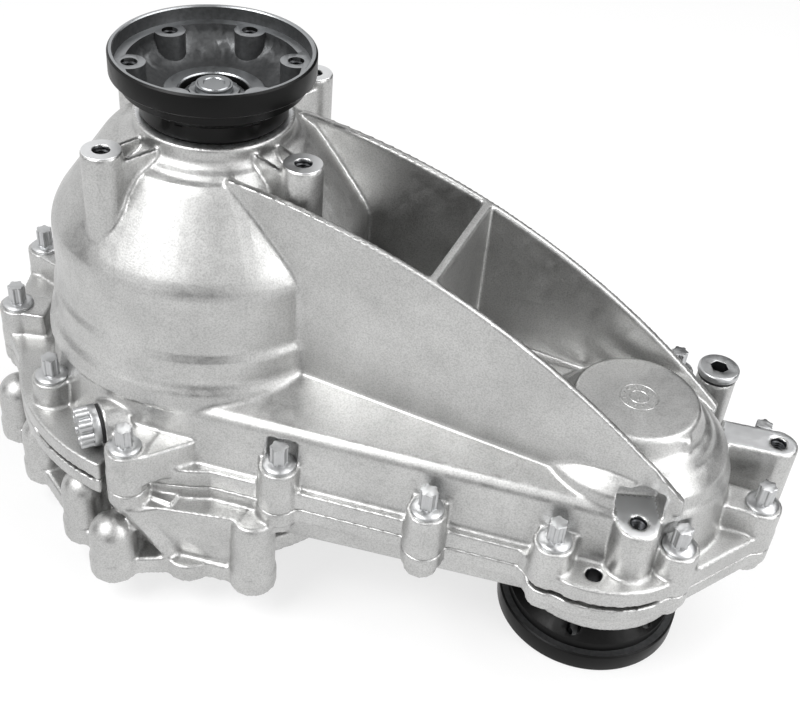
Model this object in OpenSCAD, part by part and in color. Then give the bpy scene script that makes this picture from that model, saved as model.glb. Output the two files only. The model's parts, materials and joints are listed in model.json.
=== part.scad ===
// Two-output transfer case for a four-wheel-drive car, in millimetres.
// Two cast aluminium casings hold a planetary centre differential on the main axis and a
// silent chain that drives the front output shaft on the offset axis.
// Origin: on the main axis, in the machined face that bolts to the gearbox.
// +Z runs along the main axis to the rear output flange, +X points to the front output axis.

/* [Layout] */
// Pitch of the chain
chain_pitch = 9.525; // [9:0.025:10]
// Chain pitches between the two axes
span_pitches = 26; // [25:1:27]
// Height of the parting face between the two casings
parting_z = 60; // [58:0.5:62]
// Height of the machined ring where the rear casing ends
neck_z = 234; // [232:0.5:238]
// Height of the front casing's machined nose around the front output
nose_z = 10.4; // [9:0.2:12]

/* [Casing shell] */
// Thickness of the cast walls
wall = 6; // [5:0.25:7]
// Outline radius of the joint flange round the main axis
main_r = 99; // [97:0.5:102]
// Outline radius of the joint flange round the front output axis
offset_r = 64; // [62:0.5:67]
// Thickness of the rear casing's joint flange
rear_lip = 12; // [10:0.5:14]
// Thickness of the front casing's joint flange
front_lip = 10; // [8:0.5:12]
// Height of the cover's shoulder above the parting face
shoulder_h = 46; // [44:0.5:48]
// Height of the cover's roof above the parting face
roof_h = 56; // [55:0.5:58]
// Depth of the chain room below the parting face
room_depth = 26; // [24:0.5:27]
// Open gap between the two joint flanges in the bare stretches
lip_gap = 3.2; // [2.5:0.1:4]

/* [Dome] */
// Radius of the dome's straight band over the differential
dome_r = 86.5; // [86:0.5:88]
// Height of the top of the dome's straight band
band_z = 172; // [170:0.5:175]
// Radius of the dome's cone where it meets the neck
cone_top_r = 57.5; // [56:0.5:59]
// Outer radius of the machined neck ring
neck_r = 42.5; // [41:0.25:44]

/* [Fins] */
// Radius of the arc along the top edge of the two long fins
fin_arc_r = 433; // [430:1:440]
// Height of the fins' top edge over the main axis
fin_top_z = 224; // [222:0.5:226]
// Thickness of the fins and of their cross web
fin_t = 4.5; // [4:0.25:5.5]
// Half the spacing of the two fins
fin_y = 40.8; // [39:0.2:42]

/* [Joint bolts] */
// Height of the bolt seats above the parting face
seat_h = 27; // [25:0.5:29]
// Radius of the bolt bosses
boss_r = 11; // [10:0.25:12]
// Shank radius of the casing bolts
bolt_r = 4; // [3.9:0.05:4.1]
// Washer radius of the casing bolts
washer_r = 8.9; // [8.5:0.1:9.5]
// Height of the bolt heads above their washers
head_h = 12; // [10:0.5:13]

/* [Output flanges] */
// Outer radius of the output flanges
flange_r = 52.7; // [51:0.1:54]
// Radius of the pilot rim inside the output flanges
rim_r = 49.7; // [48.5:0.1:50.2]
// Height of the output flanges' outer band
band_h = 12.2; // [11:0.2:14]
// Depth of the hole plane below the edge of the pilot rim
hole_plane_depth = 7.7; // [7:0.1:8.5]
// Radius of the flange hole circle
hole_circle_r = 41.9; // [41:0.1:43]
// Radius of the six threaded flange holes
flange_hole_r = 4.25; // [4:0.05:4.5]
// Length of an output flange from the edge of its rim to its bearing
flange_len = 59.4; // [58:0.2:61]

/* [Gearbox joint] */
// Radius of the gearbox flange between its lobes
bell_r = 103; // [101:0.5:105]
// Thickness of the gearbox flange
bell_lip = 12; // [10:0.5:14]
// Radius of the lobes round the gearbox bolt holes
lobe_r = 14; // [13:0.25:15]
// Radius of the pilot bore that centres the gearbox
pilot_r = 52; // [51:0.25:54]
// Depth of the pilot bore
pilot_depth = 8; // [7:0.25:10]
// Radius of the M10 tapping holes
tap_r = 4.25; // [4.1:0.05:4.4]
// Depth of the M10 tapping holes
tap_depth = 22; // [20:0.5:24]

/* [Gears] */
// Module of the differential's teeth
gear_module = 2; // [1.9:0.05:2.05]
// Teeth on the sun gear
sun_teeth = 30; // [30:6:30]
// Teeth on each planet gear
planet_teeth = 18; // [18:6:18]
// Face width of the gears
gear_w = 22; // [18:0.5:24]
// Number of planet gears
planet_count = 4; // [4:1:4]
// Tooth flank clearance
flank_gap = 0.12; // [0.08:0.01:0.2]

/* [Chain drive] */
// Teeth on each of the two equal sprockets
sprocket_teeth = 28; // [28:4:28]
// Width of the chain across its plate packs
chain_w = 26; // [24:0.5:28]
// Radius of the chain pins
pin_r = 1.9; // [1.8:0.05:2]

/* [Shafts and bearings] */
// Bore radius of the large output bearings
big_bore_r = 22.5; // [22:0.1:23]
// Outer radius of the large output bearings
big_outer_r = 42.5; // [42:0.1:42.5]
// Width of the large output bearings
big_w = 19; // [18:0.5:20]
// Bore radius of the small bearing under the cap
small_bore_r = 12.5; // [12:0.1:13]
// Outer radius of the small bearing under the cap
small_outer_r = 26; // [25.5:0.1:26.5]
// Width of the small bearing under the cap
small_w = 15; // [14:0.5:16]
// Bore radius of the drive sprocket's bearing
drive_bore_r = 27.5; // [27:0.1:28]
// Outer radius of the drive sprocket's bearing
drive_outer_r = 45; // [44.5:0.1:45.5]
// Width of the drive sprocket's bearing
drive_w = 16; // [15:0.5:17]
// Radius of the hollow input shaft
input_r = 18; // [17.5:0.1:18.5]
// Radius of the input spline's inner circle
spline_r = 13.5; // [13:0.1:14]
// Radius of the plain nose bore past the input spline
nose_bore_r = 12; // [11.5:0.1:12.5]

/* [Hidden] */
$fn = 96;

cast_colour = [0.78, 0.79, 0.8];
machined_colour = [0.86, 0.87, 0.88];
bolt_colour = [0.7, 0.71, 0.72];
black_colour = [0.09, 0.09, 0.1];
steel_colour = [0.55, 0.57, 0.6];
rubber_colour = [0.06, 0.06, 0.06];
brass_colour = [0.72, 0.58, 0.3];

// Overrun of a cut past the face that it opens
over = 1;
// Clearance of a press or location fit on the radius
fit_gap = 0.03;
// Clearance between parts that move past each other
run_gap = 0.5;
axis_gap = chain_pitch * span_pitches;
neck_to_bearing = 25;
rear_top_z = neck_z + flange_len - neck_to_bearing;
roof_z = parting_z + roof_h;
shoulder_z = parting_z + shoulder_h;
seat_z = parting_z + seat_h;
ledge_z = parting_z + rear_lip;
under_z = parting_z - front_lip;

boss_step = 0.4;
// Webs of the bolt bosses: half their width and their length, as shares of the boss radius
web_share = 0.88;
short_web_share = 1.7;
long_web_share = 3;

// Places of the joint bolts: which axis they stand round (0 main, 1 offset), their distance
// as a share of that end's flange radius, their bearing round that axis, and the bearing
// that their web takes back to the wall.
bolt_place_shares = [
    [0, 1.416, 171, 345],
    [0, 1.235, 196.6, 16],
    [0, 1.02, 232.7, 52],
    [0, 1.115, 273.1, 93],
    [0, 1.203, 314.8, 125],
    [0, 1.855, 334.8, 98],
    [1, 1.1, 257.2, 85],
    [1, 0.953, 314.8, 135],
    [1, 1.203, 5.7, 186],
    [1, 1.355, 40.3, 222],
    [1, 1.538, 85, 265],
    [0, 1.955, 31.5, 262],
    [0, 1.333, 49.3, 236],
    [0, 1.16, 80, 260],
    [0, 1.182, 112.6, 292],
    [0, 1.263, 143, 322]
];
function end_x(end) = end == 0 ? 0 : axis_gap;
function end_r(end) = end == 0 ? main_r : offset_r;
function polar(r, a) = [r * cos(a), r * sin(a)];
function bolt_place(i) =
    [end_x(bolt_place_shares[i][0]), 0]
    + polar(end_r(bolt_place_shares[i][0]) * bolt_place_shares[i][1], bolt_place_shares[i][2]);
bolt_places = [for (i = [0 : len(bolt_place_shares) - 1]) bolt_place(i)];
// Bolts whose bosses stand outside the plain outline, in order round each end
left_ear_bolts = [14, 15, 0, 1, 2];
right_ear_bolts = [6, 7, 8, 9, 10, 11, 12, 13, 14];
strip_w = 2 * boss_r - 4 * (boss_r - washer_r) / 2;

// Bulges of the joint flange: by the drain plug, and under the front bracket
left_bulge_r = main_r * 1.18;
left_bulge_from = 208;
left_bulge_to = 266;
front_bulge_r = offset_r * 0.86;
front_bulge_place = [axis_gap, -offset_r * 0.38];

// Section of the cover: inset from the joint flange's edge, and height over the parting face
cover_foot = 3.5;
cover_lean = 7.5;
shoulder_round = 4;
roof_inset = 44;
cover_section = [
    [cover_foot, 2 * over],
    [cover_foot + over, rear_lip + over],
    [cover_foot + 2 * over, rear_lip + shoulder_round],
    [cover_lean, shoulder_h - shoulder_round],
    [cover_lean + shoulder_round / 3, shoulder_h - shoulder_round / 3],
    [cover_lean + shoulder_round, shoulder_h + shoulder_round / 3],
    [roof_inset, roof_h],
    [offset_r, roof_h]
];
room_inset = cover_lean + wall;
room_r = offset_r - room_inset;

// The housing's wide end and dome stand a little to the side of the main axis
main_x = -0.027 * main_r;
flank_in = 0.1;

// The tangent between the two ends' circles
function lean(r1, r2) = asin((r1 - r2) / (axis_gap - main_x));
function run(r1, r2) = (axis_gap - main_x) * cos(lean(r1, r2));

// Dome: points up its outside, from the cover's roof to the neck ring
band_step = 2.2;
step_z = roof_z + 17;
cone_foot_r = dome_r - 3.5;
cone_foot_z = band_z + 8;
cone_top_z = neck_z - 18;
neck_foot_z = neck_z - 8;
dome_section = [
    [0, roof_z - rear_lip],
    [dome_r + band_step + 5 * over, roof_z - rear_lip],
    [dome_r + band_step + 3 * over, roof_z - 2 * over],
    [dome_r + band_step + over, roof_z + over],
    [dome_r + band_step, roof_z + 4 * over],
    [dome_r + band_step, step_z],
    [dome_r + band_step / 2, step_z + band_step],
    [dome_r, step_z + 2 * band_step],
    [dome_r, band_z - over],
    [dome_r - over, band_z + 3 * over],
    [cone_foot_r, cone_foot_z],
    [cone_top_r, cone_top_z],
    [cone_top_r - 3 * over, cone_top_z + 3 * over],
    [cone_top_r - 8 * over, cone_top_z + 5 * over],
    [0, cone_top_z + 5 * over]
];
neck_section = [
    [0, cone_top_z - 12 * over],
    [neck_r + 12 * over, cone_top_z - 12 * over],
    [neck_r + 11 * over, cone_top_z + over],
    [neck_r + 6 * over, neck_foot_z - 4 * over],
    [neck_r + 2 * over, neck_foot_z - 2 * over],
    [neck_r, neck_foot_z + over],
    [neck_r, neck_z - over],
    [neck_r - over, neck_z],
    [0, neck_z]
];
dome_cavity_r = dome_r - wall - over;
bearing_roof_z = neck_z - neck_to_bearing;
big_seat_z = bearing_roof_z - big_w;
snap_t = 2;
cavity_top_z = big_seat_z - snap_t - over;
seal_r = 36;
seal_h = 10;
throat_r = 37;

// Four threaded bosses on the dome, square to each other, and their ribs
dome_boss_count = 4;
dome_boss_circle_r = 69.6;
dome_boss_r = 10.4;
dome_boss_turn = -22;
rib_t = 3.2;
rib_half = 7.4;
rib_drop = 5;

// Fins
fin_centre_z = fin_top_z - fin_arc_r;
web_x = axis_gap * 0.575;
fin_end_x = axis_gap + 0.61 * offset_r;
fin_start_x = neck_r - 12 * over;
fin_foot_z = shoulder_z;

// Cap over the front output shaft's upper bearing
cap_top_z = parting_z + roof_h + 21;
cap_r = 33.4;
cap_section = [
    [0, roof_z - 2 * wall],
    [offset_r - cover_lean - 2 * over, roof_z - 2 * wall],
    [offset_r - cover_lean - 4 * over, roof_z - wall / 2],
    [cap_r + 15, roof_z + 1.5],
    [cap_r + 12.5, roof_z + 3.5],
    [cap_r + 10.5, roof_z + 4.5],
    [cap_r + 8.5, roof_z + 8],
    [cap_r + 6, roof_z + 10],
    [cap_r + 3.5, roof_z + 11],
    [cap_r + 1.5, roof_z + 15.5],
    [cap_r, cap_top_z - 1.2],
    [cap_r - 1.5, cap_top_z],
    [0, cap_top_z]
];
cap_nub_r = 4;
cap_nub_h = 18;
cap_nub_turn = -28;

// Front bracket and ear: machined pads with a threaded hole
pad_z = parting_z + 43;
arm_share = 0.97;
spot_share = 0.85;
bracket_r = 12;
bracket_place = [axis_gap + 0.326 * offset_r, -0.82 * offset_r];
bracket_turn = 111.7;
bracket_len = 22;
ear_r = 10.8;
ear_place = [axis_gap + 1.184 * offset_r, 0.647 * offset_r];
ear_turn = 190;
ear_len = 31;
lip_hole_r = 4.3;
lip_hole_place = [axis_gap + 0.117 * offset_r, -1.05 * offset_r];

// Fill plug on an upright boss, drain plug on a level boss
fill_place = [axis_gap + 0.52 * offset_r, 1.1 * offset_r];
fill_seat_z = roof_z - 3;
plug_r = 11.6;
plug_boss_r = 11;
plug_thread_r = 9;
plug_len = 16;
plug_seal_h = 1.8;
plug_collar_h = 4.2;
plug_socket_r = 5.2;
drain_z = parting_z + 25;
drain_turn = 228;
drain_place = [-0.169 * main_r, -0.997 * main_r];
drain_boss_r = 12.5;
drain_lobe_r = 2.6;
drain_lobes = 8;
drain_head_h = 7;

// Gearbox bolt lobes: distance from the main axis as a share of bell_r, bearing, column top
// as a share of the parting height, and the lobe's size as a share of lobe_r
lobe_place_shares = [
    [1.194, 204.4, 0.62, 1],
    [1.042, 223.5, 0.62, 1],
    [1.041, 254, 0.66, 1],
    [1.166, 269.9, 0.56, 1],
    [1.032, 289.9, 0.2, 1],
    [1.16, 308.1, 0.86, 0.95],
    [1.06, 20, 0.2, 1],
    [1.07, 55, 0.6, 1],
    [1.13, 88, 0.62, 1],
    [1.09, 121, 0.6, 1],
    [1.17, 160, 0.62, 1]
];
function lobe_place(i) = polar(bell_r * lobe_place_shares[i][0], lobe_place_shares[i][1]);
bell_wall_r = main_r - 2;
drive_seat_z = 20;
bell_floor_z = drive_seat_z + drive_w + 4;
pocket_in_r = pilot_r + 9;
pocket_out_r = bell_wall_r - wall - 2;
pocket_top_z = bell_floor_z - wall - 2;
pocket_count = 12;
body_main_r = main_r - 2.5;
body_offset_r = offset_r - 9;
room_floor_z = parting_z - room_depth;
nose_r = room_r + over;
nose_bearing_z = nose_z + neck_to_bearing;
nose_top_z = nose_bearing_z + big_w + snap_t + over;

// Differential along the main axis
gear_z = roof_z - 4;
pressure_angle = 20;
flank_steps = 4;
ring_teeth = sun_teeth + 2 * planet_teeth;
sun_pitch_r = gear_module * sun_teeth / 2;
planet_pitch_r = gear_module * planet_teeth / 2;
ring_pitch_r = gear_module * ring_teeth / 2;
planet_orbit_r = sun_pitch_r + planet_pitch_r;
ring_outer_r = ring_pitch_r + 4.5 * gear_module;
dedendum = 1.25 * gear_module;
carrier_r = ring_pitch_r - 2.5 * gear_module;
carrier_plate_t = 6;
carrier_gap = 2;
carrier_low_z = gear_z - carrier_gap - carrier_plate_t;
carrier_high_z = gear_z + gear_w + carrier_gap;
planet_pin_r = 7;
carrier_post_r = 7.5;
washer_t = 1.6;
drum_top_z = carrier_high_z + carrier_plate_t + 4;
drum_disc_t = 8;
sun_bore_r = input_r + 2.5;
sun_sleeve_r = sun_bore_r + 3.5;
hub_bore_r = sun_sleeve_r + fit_gap;
input_bottom_z = pilot_depth + 3;
spline_len = 34;
nose_bore_len = 8;
spline_teeth = 24;
spline_depth = 1.5;
needle_w = 14;

// Chain loop and sprockets
chain_z = parting_z + 3;
pack_gap = 0.4;
pack_w = (chain_w - 2 * pack_gap) / 3;
sprocket_pitch_r = chain_pitch / (2 * sin(180 / sprocket_teeth));
link_count = 2 * span_pitches + sprocket_teeth;
link_end_r = 0.385 * chain_pitch;
pin_gap = 0.05;
sprocket_tip_r = sprocket_pitch_r * cos(180 / sprocket_teeth) - 0.13 * chain_pitch;
sprocket_root_r = sprocket_tip_r - 0.46 * chain_pitch;
tooth_tip_half = 0.135 * chain_pitch;
tooth_root_half = 0.315 * chain_pitch;
sprocket_side_gap = 1;

// Output flange, measured down from the edge of its pilot rim
flange_hub_r = 26;
flange_neck_r = 38.5;
flange_neck_depth = flange_len - neck_to_bearing - run_gap;
cup_r = 44.5;
cup_wall = 3.4;
cup_depth = 18;
cup_floor_r = 28;
cup_floor_depth = 25;
lobe_pad_r = 8.2;
flange_hole_turn = 32.8;
flange_hole_count = 6;
shaft_neck_r = 16;
nut_r = 16.2;
nut_h = 5;
stud_r = 9.6;
stud_out = 8;

// Bearing proportions
race_share = 0.26;
ball_share = 0.235;
ball_gap = 0.05;

dowel_r = 5;
dowel_len = 16;

module main_ring(r, h, z) {
    translate([0, 0, z])
        cylinder(r = r, h = h);
}

// Two end circles and the straight flanks that touch them both, filled
module drop_outline(r1, r2) {
    a = lean(r1, r2);
    translate([main_x, 0])
        circle(r = r1);
    translate([axis_gap, 0])
        circle(r = r2);
    polygon([
        [main_x, 0] + polar(r1 - flank_in, 90 - a),
        [axis_gap, 0] + polar(r2 - flank_in, 90 - a),
        [axis_gap, 0] + polar(r2 - flank_in, a - 90),
        [main_x, 0] + polar(r1 - flank_in, a - 90)
    ]);
}

// A solid whose section follows the drop outline: revolved ends, and straight flanks that
// stand a hair inside their tangents, so that they meet the ends in a clean line
module drop_sweep(section, r1, r2, z) {
    a = lean(r1, r2);
    last = len(section) - 1;
    far = r1 - section[last][0] - (r1 - r2) * 1.1;
    translate([0, 0, z]) {
        translate([main_x, 0, 0])
            rotate_extrude()
                polygon(concat(
                    [[0, section[0][1]]],
                    [for (s = section) [r1 - s[0], s[1]]],
                    [[0, section[last][1]]]
                ));
        translate([axis_gap, 0, 0])
            rotate_extrude()
                polygon(concat(
                    [for (s = section) [max(0, r2 - s[0]), s[1]]],
                    [[0, section[0][1]]]
                ));
        for (side = [-1, 1])
            translate([main_x, 0, 0])
                rotate([0, 0, -side * a])
                    mirror([0, side < 0 ? 1 : 0, 0])
                        translate([run(r1, r2), 0, 0])
                            rotate([90, 0, -90])
                                linear_extrude(height = run(r1, r2))
                                    polygon(concat(
                                        [for (s = section) [s[0] + flank_in - r1, s[1]]],
                                        [[-far, section[last][1]], [-far, section[0][1]]]
                                    ));
    }
}

// A bar of the joint flange from one bolt to the next
module strip(a, b, w) {
    d = b - a;
    translate(a)
        rotate(atan2(d[1], d[0]))
            translate([0, -w / 2])
                square([norm(d), w]);
}

// Outline that both casings share at the parting face
module joint_outline() {
    drop_outline(main_r, offset_r);
    translate([main_x, 0])
        circle(r = main_r * 1.066);
    intersection() {
        circle(r = left_bulge_r);
        polygon([
            [0, 0],
            polar(2 * main_r, left_bulge_from),
            polar(2 * main_r, (left_bulge_from + left_bulge_to) / 2),
            polar(2 * main_r, left_bulge_to)
        ]);
    }
    translate(front_bulge_place)
        circle(r = front_bulge_r);
    for (ear = [left_ear_bolts, right_ear_bolts])
        for (i = [1 : len(ear) - 1])
            strip(bolt_places[ear[i - 1]], bolt_places[ear[i]], strip_w);
    polygon(concat([[0, 0]], [for (i = left_ear_bolts) bolt_places[i]]));
    polygon(concat([for (i = right_ear_bolts) bolt_places[i]], [[0, 0]]));
    for (p = bolt_places)
        translate(p)
            circle(r = boss_r + boss_step);
}

// The bare gap between the two joint flanges, cut half from each
module lip_slot() {
    translate([0, 0, parting_z - lip_gap / 2]) {
        rotate([0, 0, 237])
            rotate_extrude(angle = 27)
                translate([main_r * 1.08, 0])
                    square([main_r * 0.2, lip_gap]);
        translate([front_bulge_place[0], front_bulge_place[1], 0])
            rotate([0, 0, 244])
                rotate_extrude(angle = 76)
                    translate([front_bulge_r * 0.8, 0])
                        square([front_bulge_r * 0.4, lip_gap]);
    }
}

module bolt_holes(z, r, depth) {
    for (p = bolt_places)
        translate([p[0], p[1], z])
            cylinder(r = r, h = depth);
}

// Bolt bosses, each with a web back to the wall, a little taller than their spot-faced seats
module seat_bosses() {
    translate([0, 0, parting_z + over])
        linear_extrude(height = seat_h + boss_step - over)
            for (i = [0 : len(bolt_places) - 1])
                translate(bolt_places[i]) {
                    circle(r = boss_r);
                    rotate(bolt_place_shares[i][3])
                        translate([0, -web_share * boss_r])
                            square([
                                boss_r * (i == 0 || i == 11 ? long_web_share : short_web_share),
                                2 * web_share * boss_r
                            ]);
                }
}

module fin_profile() {
    intersection() {
        translate([0, fin_centre_z])
            circle(r = fin_arc_r, $fn = 360);
        translate([fin_start_x, fin_foot_z])
            square([fin_end_x - fin_start_x, fin_top_z - fin_foot_z]);
    }
}

module fins() {
    for (side = [-1, 1])
        translate([0, side * fin_y + fin_t / 2, 0])
            rotate([90, 0, 0])
                linear_extrude(height = fin_t)
                    fin_profile();
    intersection() {
        translate([web_x - fin_t / 2, -fin_y, fin_foot_z])
            cube([fin_t, 2 * fin_y, fin_top_z - fin_foot_z]);
        translate([0, fin_y, 0])
            rotate([90, 0, 0])
                linear_extrude(height = 2 * fin_y)
                    fin_profile();
    }
}

module dome_bosses() {
    for (i = [0 : dome_boss_count - 1])
        rotate([0, 0, dome_boss_turn + i * 360 / dome_boss_count]) {
            translate([dome_boss_circle_r, 0, cone_foot_z - 2 * wall])
                cylinder(r = dome_boss_r, h = neck_z - cone_foot_z + 2 * wall);
            for (side = [-1, 1])
                translate([neck_r - wall, side * rib_half - rib_t / 2, cone_foot_z])
                    cube([dome_boss_circle_r - neck_r + wall, rib_t, neck_z - rib_drop - cone_foot_z]);
        }
}

module pad_block(place, r, turn, length) {
    translate([place[0], place[1], parting_z])
        linear_extrude(height = pad_z - parting_z) {
            circle(r = r);
            rotate(turn)
                translate([0, -arm_share * r])
                    square([length, 2 * arm_share * r]);
        }
}

// Wedge that rises behind the front bracket's pad
module bracket_wedge() {
    translate([bracket_place[0], bracket_place[1], 0])
        rotate([0, 0, bracket_turn])
            translate([0, arm_share * bracket_r, 0])
                rotate([90, 0, 0])
                    linear_extrude(height = 2 * arm_share * bracket_r)
                        polygon([
                            [bracket_len - over, pad_z - bracket_r],
                            [bracket_len - over, pad_z],
                            [bracket_len + over, pad_z + 0.8 * bracket_r],
                            [1.6 * bracket_len, roof_z + over],
                            [1.6 * bracket_len, pad_z - bracket_r]
                        ]);
}

module drain_axis() {
    translate([drain_place[0], drain_place[1], drain_z])
        rotate([0, 0, drain_turn])
            rotate([0, 90, 0])
                children();
}

module rear_casing() {
    color(cast_colour)
        difference() {
            union() {
                translate([0, 0, parting_z])
                    linear_extrude(height = rear_lip)
                        joint_outline();
                drop_sweep(cover_section, main_r, offset_r, parting_z);
                translate([main_x, 0, 0])
                    rotate_extrude($fn = 180)
                        polygon(dome_section);
                rotate_extrude($fn = 180)
                    polygon(neck_section);
                translate([axis_gap, 0, 0])
                    rotate_extrude()
                        polygon(cap_section);
                translate([axis_gap, 0, roof_z])
                    rotate([0, 0, cap_nub_turn])
                        translate([cap_r, 0, 0])
                            cylinder(r = cap_nub_r, h = cap_nub_h);
                seat_bosses();
                dome_bosses();
                fins();
                pad_block(bracket_place, bracket_r, bracket_turn, bracket_len);
                bracket_wedge();
                pad_block(ear_place, ear_r, ear_turn, ear_len);
                translate([fill_place[0], fill_place[1], parting_z])
                    cylinder(r = plug_boss_r, h = fill_seat_z - parting_z);
                drain_axis()
                    translate([0, 0, -2.4 * wall])
                        cylinder(r = drain_boss_r, h = 2.4 * wall);
            }
            // Room for the chain, the differential and the bearings
            chain_room(parting_z - over, shoulder_h - wall + over, room_inset);
            chain_room(shoulder_z - wall - over, roof_h - shoulder_h + over, roof_inset);
            translate([main_x, 0, 0])
                rotate_extrude()
                    polygon([
                        [0, parting_z - over],
                        [dome_cavity_r, parting_z - over],
                        [dome_cavity_r, band_z - 2 * over],
                        [dome_cavity_r - wall, band_z + wall],
                        [dome_cavity_r - 2 * wall, cavity_top_z - over / 2],
                        [0, cavity_top_z - over / 2]
                    ]);
            main_ring(big_outer_r + fit_gap, bearing_roof_z - cavity_top_z + over, cavity_top_z - over);
            rotate_extrude()
                translate([big_outer_r - over, big_seat_z - snap_t])
                    square([2.5 * over, snap_t]);
            main_ring(throat_r - wall, neck_z, bearing_roof_z - over);
            main_ring(seal_r + fit_gap, seal_h + 2 * over, neck_z - seal_h - over);
            translate([axis_gap, 0, 0])
                main_ring(small_outer_r + fit_gap, cap_top_z - wall - cap_seat_low_z, cap_seat_low_z);
            bolt_holes(parting_z - over, bolt_r + 0.5, seat_h + 2 * over);
            bolt_holes(seat_z, washer_r + 0.6, head_h + 2 * over);
            lip_slot();
            for (i = [0 : dome_boss_count - 1])
                rotate([0, 0, dome_boss_turn + i * 360 / dome_boss_count])
                    translate([dome_boss_circle_r, 0, neck_z - tap_depth])
                        cylinder(r = tap_r, h = tap_depth + over);
            for (p = [bracket_place, ear_place])
                translate([p[0], p[1], pad_z - tap_depth])
                    cylinder(r = tap_r, h = tap_depth + over);
            translate([bracket_place[0], bracket_place[1], pad_z])
                cylinder(r = spot_share * bracket_r, h = roof_h);
            translate([lip_hole_place[0], lip_hole_place[1], parting_z - over])
                cylinder(r = lip_hole_r, h = rear_lip + 2 * over);
            translate([fill_place[0], fill_place[1], fill_seat_z - plug_len - over])
                cylinder(r = plug_thread_r + fit_gap, h = plug_len + 2 * over);
            drain_axis()
                translate([0, 0, -plug_len - over])
                    cylinder(r = plug_thread_r + fit_gap, h = plug_len + 2 * over);
            dowel_cuts();
        }
}
cap_seat_low_z = shoulder_z - wall - run_gap;

// The chain room runs round both sprockets, inside the walls
module chain_room(z, h, inset) {
    translate([0, 0, z])
        linear_extrude(height = h)
            drop_outline(main_r - inset, offset_r - inset);
}

dowel_places = [
    (bolt_places[4] + bolt_places[5]) / 2 + [0, 0.14 * main_r],
    (bolt_places[12] + bolt_places[13]) / 2 - [0, 0.06 * main_r]
];

module dowel_cuts() {
    for (p = dowel_places)
        translate([p[0], p[1], parting_z - dowel_len / 2])
            cylinder(r = dowel_r + fit_gap, h = dowel_len);
}

module front_casing() {
    color(cast_colour)
        difference() {
            union() {
                front_shell();
                translate([axis_gap, 0, nose_z])
                    cylinder(r = nose_r, h = nose_top_z - nose_z);
            }
            translate([axis_gap, 0, 0]) {
                main_ring(big_outer_r + fit_gap, parting_z, nose_bearing_z);
                main_ring(throat_r - wall, parting_z, nose_z - over);
                main_ring(seal_r + fit_gap, seal_h + 2 * over, nose_z - over);
                rotate_extrude()
                    translate([big_outer_r - over, nose_bearing_z + big_w])
                        square([2.5 * over, snap_t]);
            }
            main_ring(pilot_r, pilot_depth + over, -over);
            main_ring(drive_outer_r + fit_gap, drive_w + over, drive_seat_z);
            main_ring(drive_outer_r - 4, bell_floor_z, -over);
            bell_pockets();
            bolt_holes(under_z - 0.4 * boss_r, bolt_r + fit_gap, front_lip + boss_r);
            for (i = [0 : len(lobe_place_shares) - 1])
                translate([lobe_place(i)[0], lobe_place(i)[1], -over])
                    cylinder(r = tap_r, h = (lobe_place_shares[i][2] > 0.3 ? tap_depth : bell_lip) + over);
            lip_slot();
            translate([lip_hole_place[0], lip_hole_place[1], under_z - over])
                cylinder(r = lip_hole_r, h = front_lip + 2 * over);
            dowel_cuts();
        }
}

// Joint flange, walls and gearbox bell, with the chain room open at the top
module front_shell() {
    difference() {
        union() {
            translate([0, 0, under_z])
                linear_extrude(height = front_lip)
                    joint_outline();
            for (p = bolt_places)
                translate([p[0], p[1], under_z - 0.55 * boss_r])
                    cylinder(r = 0.85 * boss_r, h = 0.55 * boss_r + over);
            drop_sweep(
                [
                    [wall, room_floor_z - wall],
                    [0, room_floor_z + over],
                    [0, parting_z - over],
                    [body_offset_r, parting_z - over]
                ],
                body_main_r, body_offset_r, 0
            );
            bell();
        }
        chain_room(room_floor_z + run_gap, room_depth + over, room_inset);
        translate([0, 0, bell_floor_z])
            cylinder(r = main_r - room_inset - over, h = parting_z);
    }
}

module bell() {
    difference() {
        union() {
            cylinder(r = bell_wall_r, h = parting_z - over);
            linear_extrude(height = bell_lip)
                union() {
                    circle(r = bell_r);
                    for (i = [0 : len(lobe_place_shares) - 1])
                        translate(lobe_place(i))
                            circle(r = lobe_r * lobe_place_shares[i][3]);
                    for (i = [1 : 5])
                        strip(lobe_place(i - 1), lobe_place(i), lobe_r);
                    for (i = [8 : 10])
                        strip(lobe_place(i - 1), lobe_place(i), lobe_r);
                    strip(lobe_place(10), lobe_place(0), lobe_r);
                }
            for (i = [0 : len(lobe_place_shares) - 1])
                lobe_column(i);
        }
        main_ring(pilot_r - over, bell_floor_z, -over);
    }
    difference() {
        main_ring(pilot_r + 8, bell_floor_z, 0);
        main_ring(pilot_r - 2 * wall, bell_floor_z + 2 * over, -over);
    }
}

// A blind column with a domed top over a gearbox bolt hole
module lobe_column(i) {
    r = 0.93 * lobe_r * lobe_place_shares[i][3];
    top = parting_z * lobe_place_shares[i][2];
    p = lobe_place(i);
    if (top > bell_lip)
        translate([p[0], p[1], 0]) {
            cylinder(r = r, h = top - r / 2);
            translate([0, 0, top - r / 2])
                intersection() {
                    sphere(r = r);
                    cylinder(r = r, h = top < parting_z * 0.8 ? r : r / 2);
                }
            rotate([0, 0, lobe_place_shares[i][1] + 180])
                translate([0, -0.6 * r, 0])
                    cube([2 * r, 1.2 * r, top - 0.6 * r]);
        }
}

// Weight-saving pockets between radial ribs, open to the gearbox side
module bell_pockets() {
    for (i = [0 : pocket_count - 1])
        rotate([0, 0, (i + 0.5) * 360 / pocket_count - 11])
            translate([0, 0, -over])
                rotate_extrude(angle = 22)
                    translate([pocket_in_r, 0])
                        square([pocket_out_r - pocket_in_r, pocket_top_z + over]);
}

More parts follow.
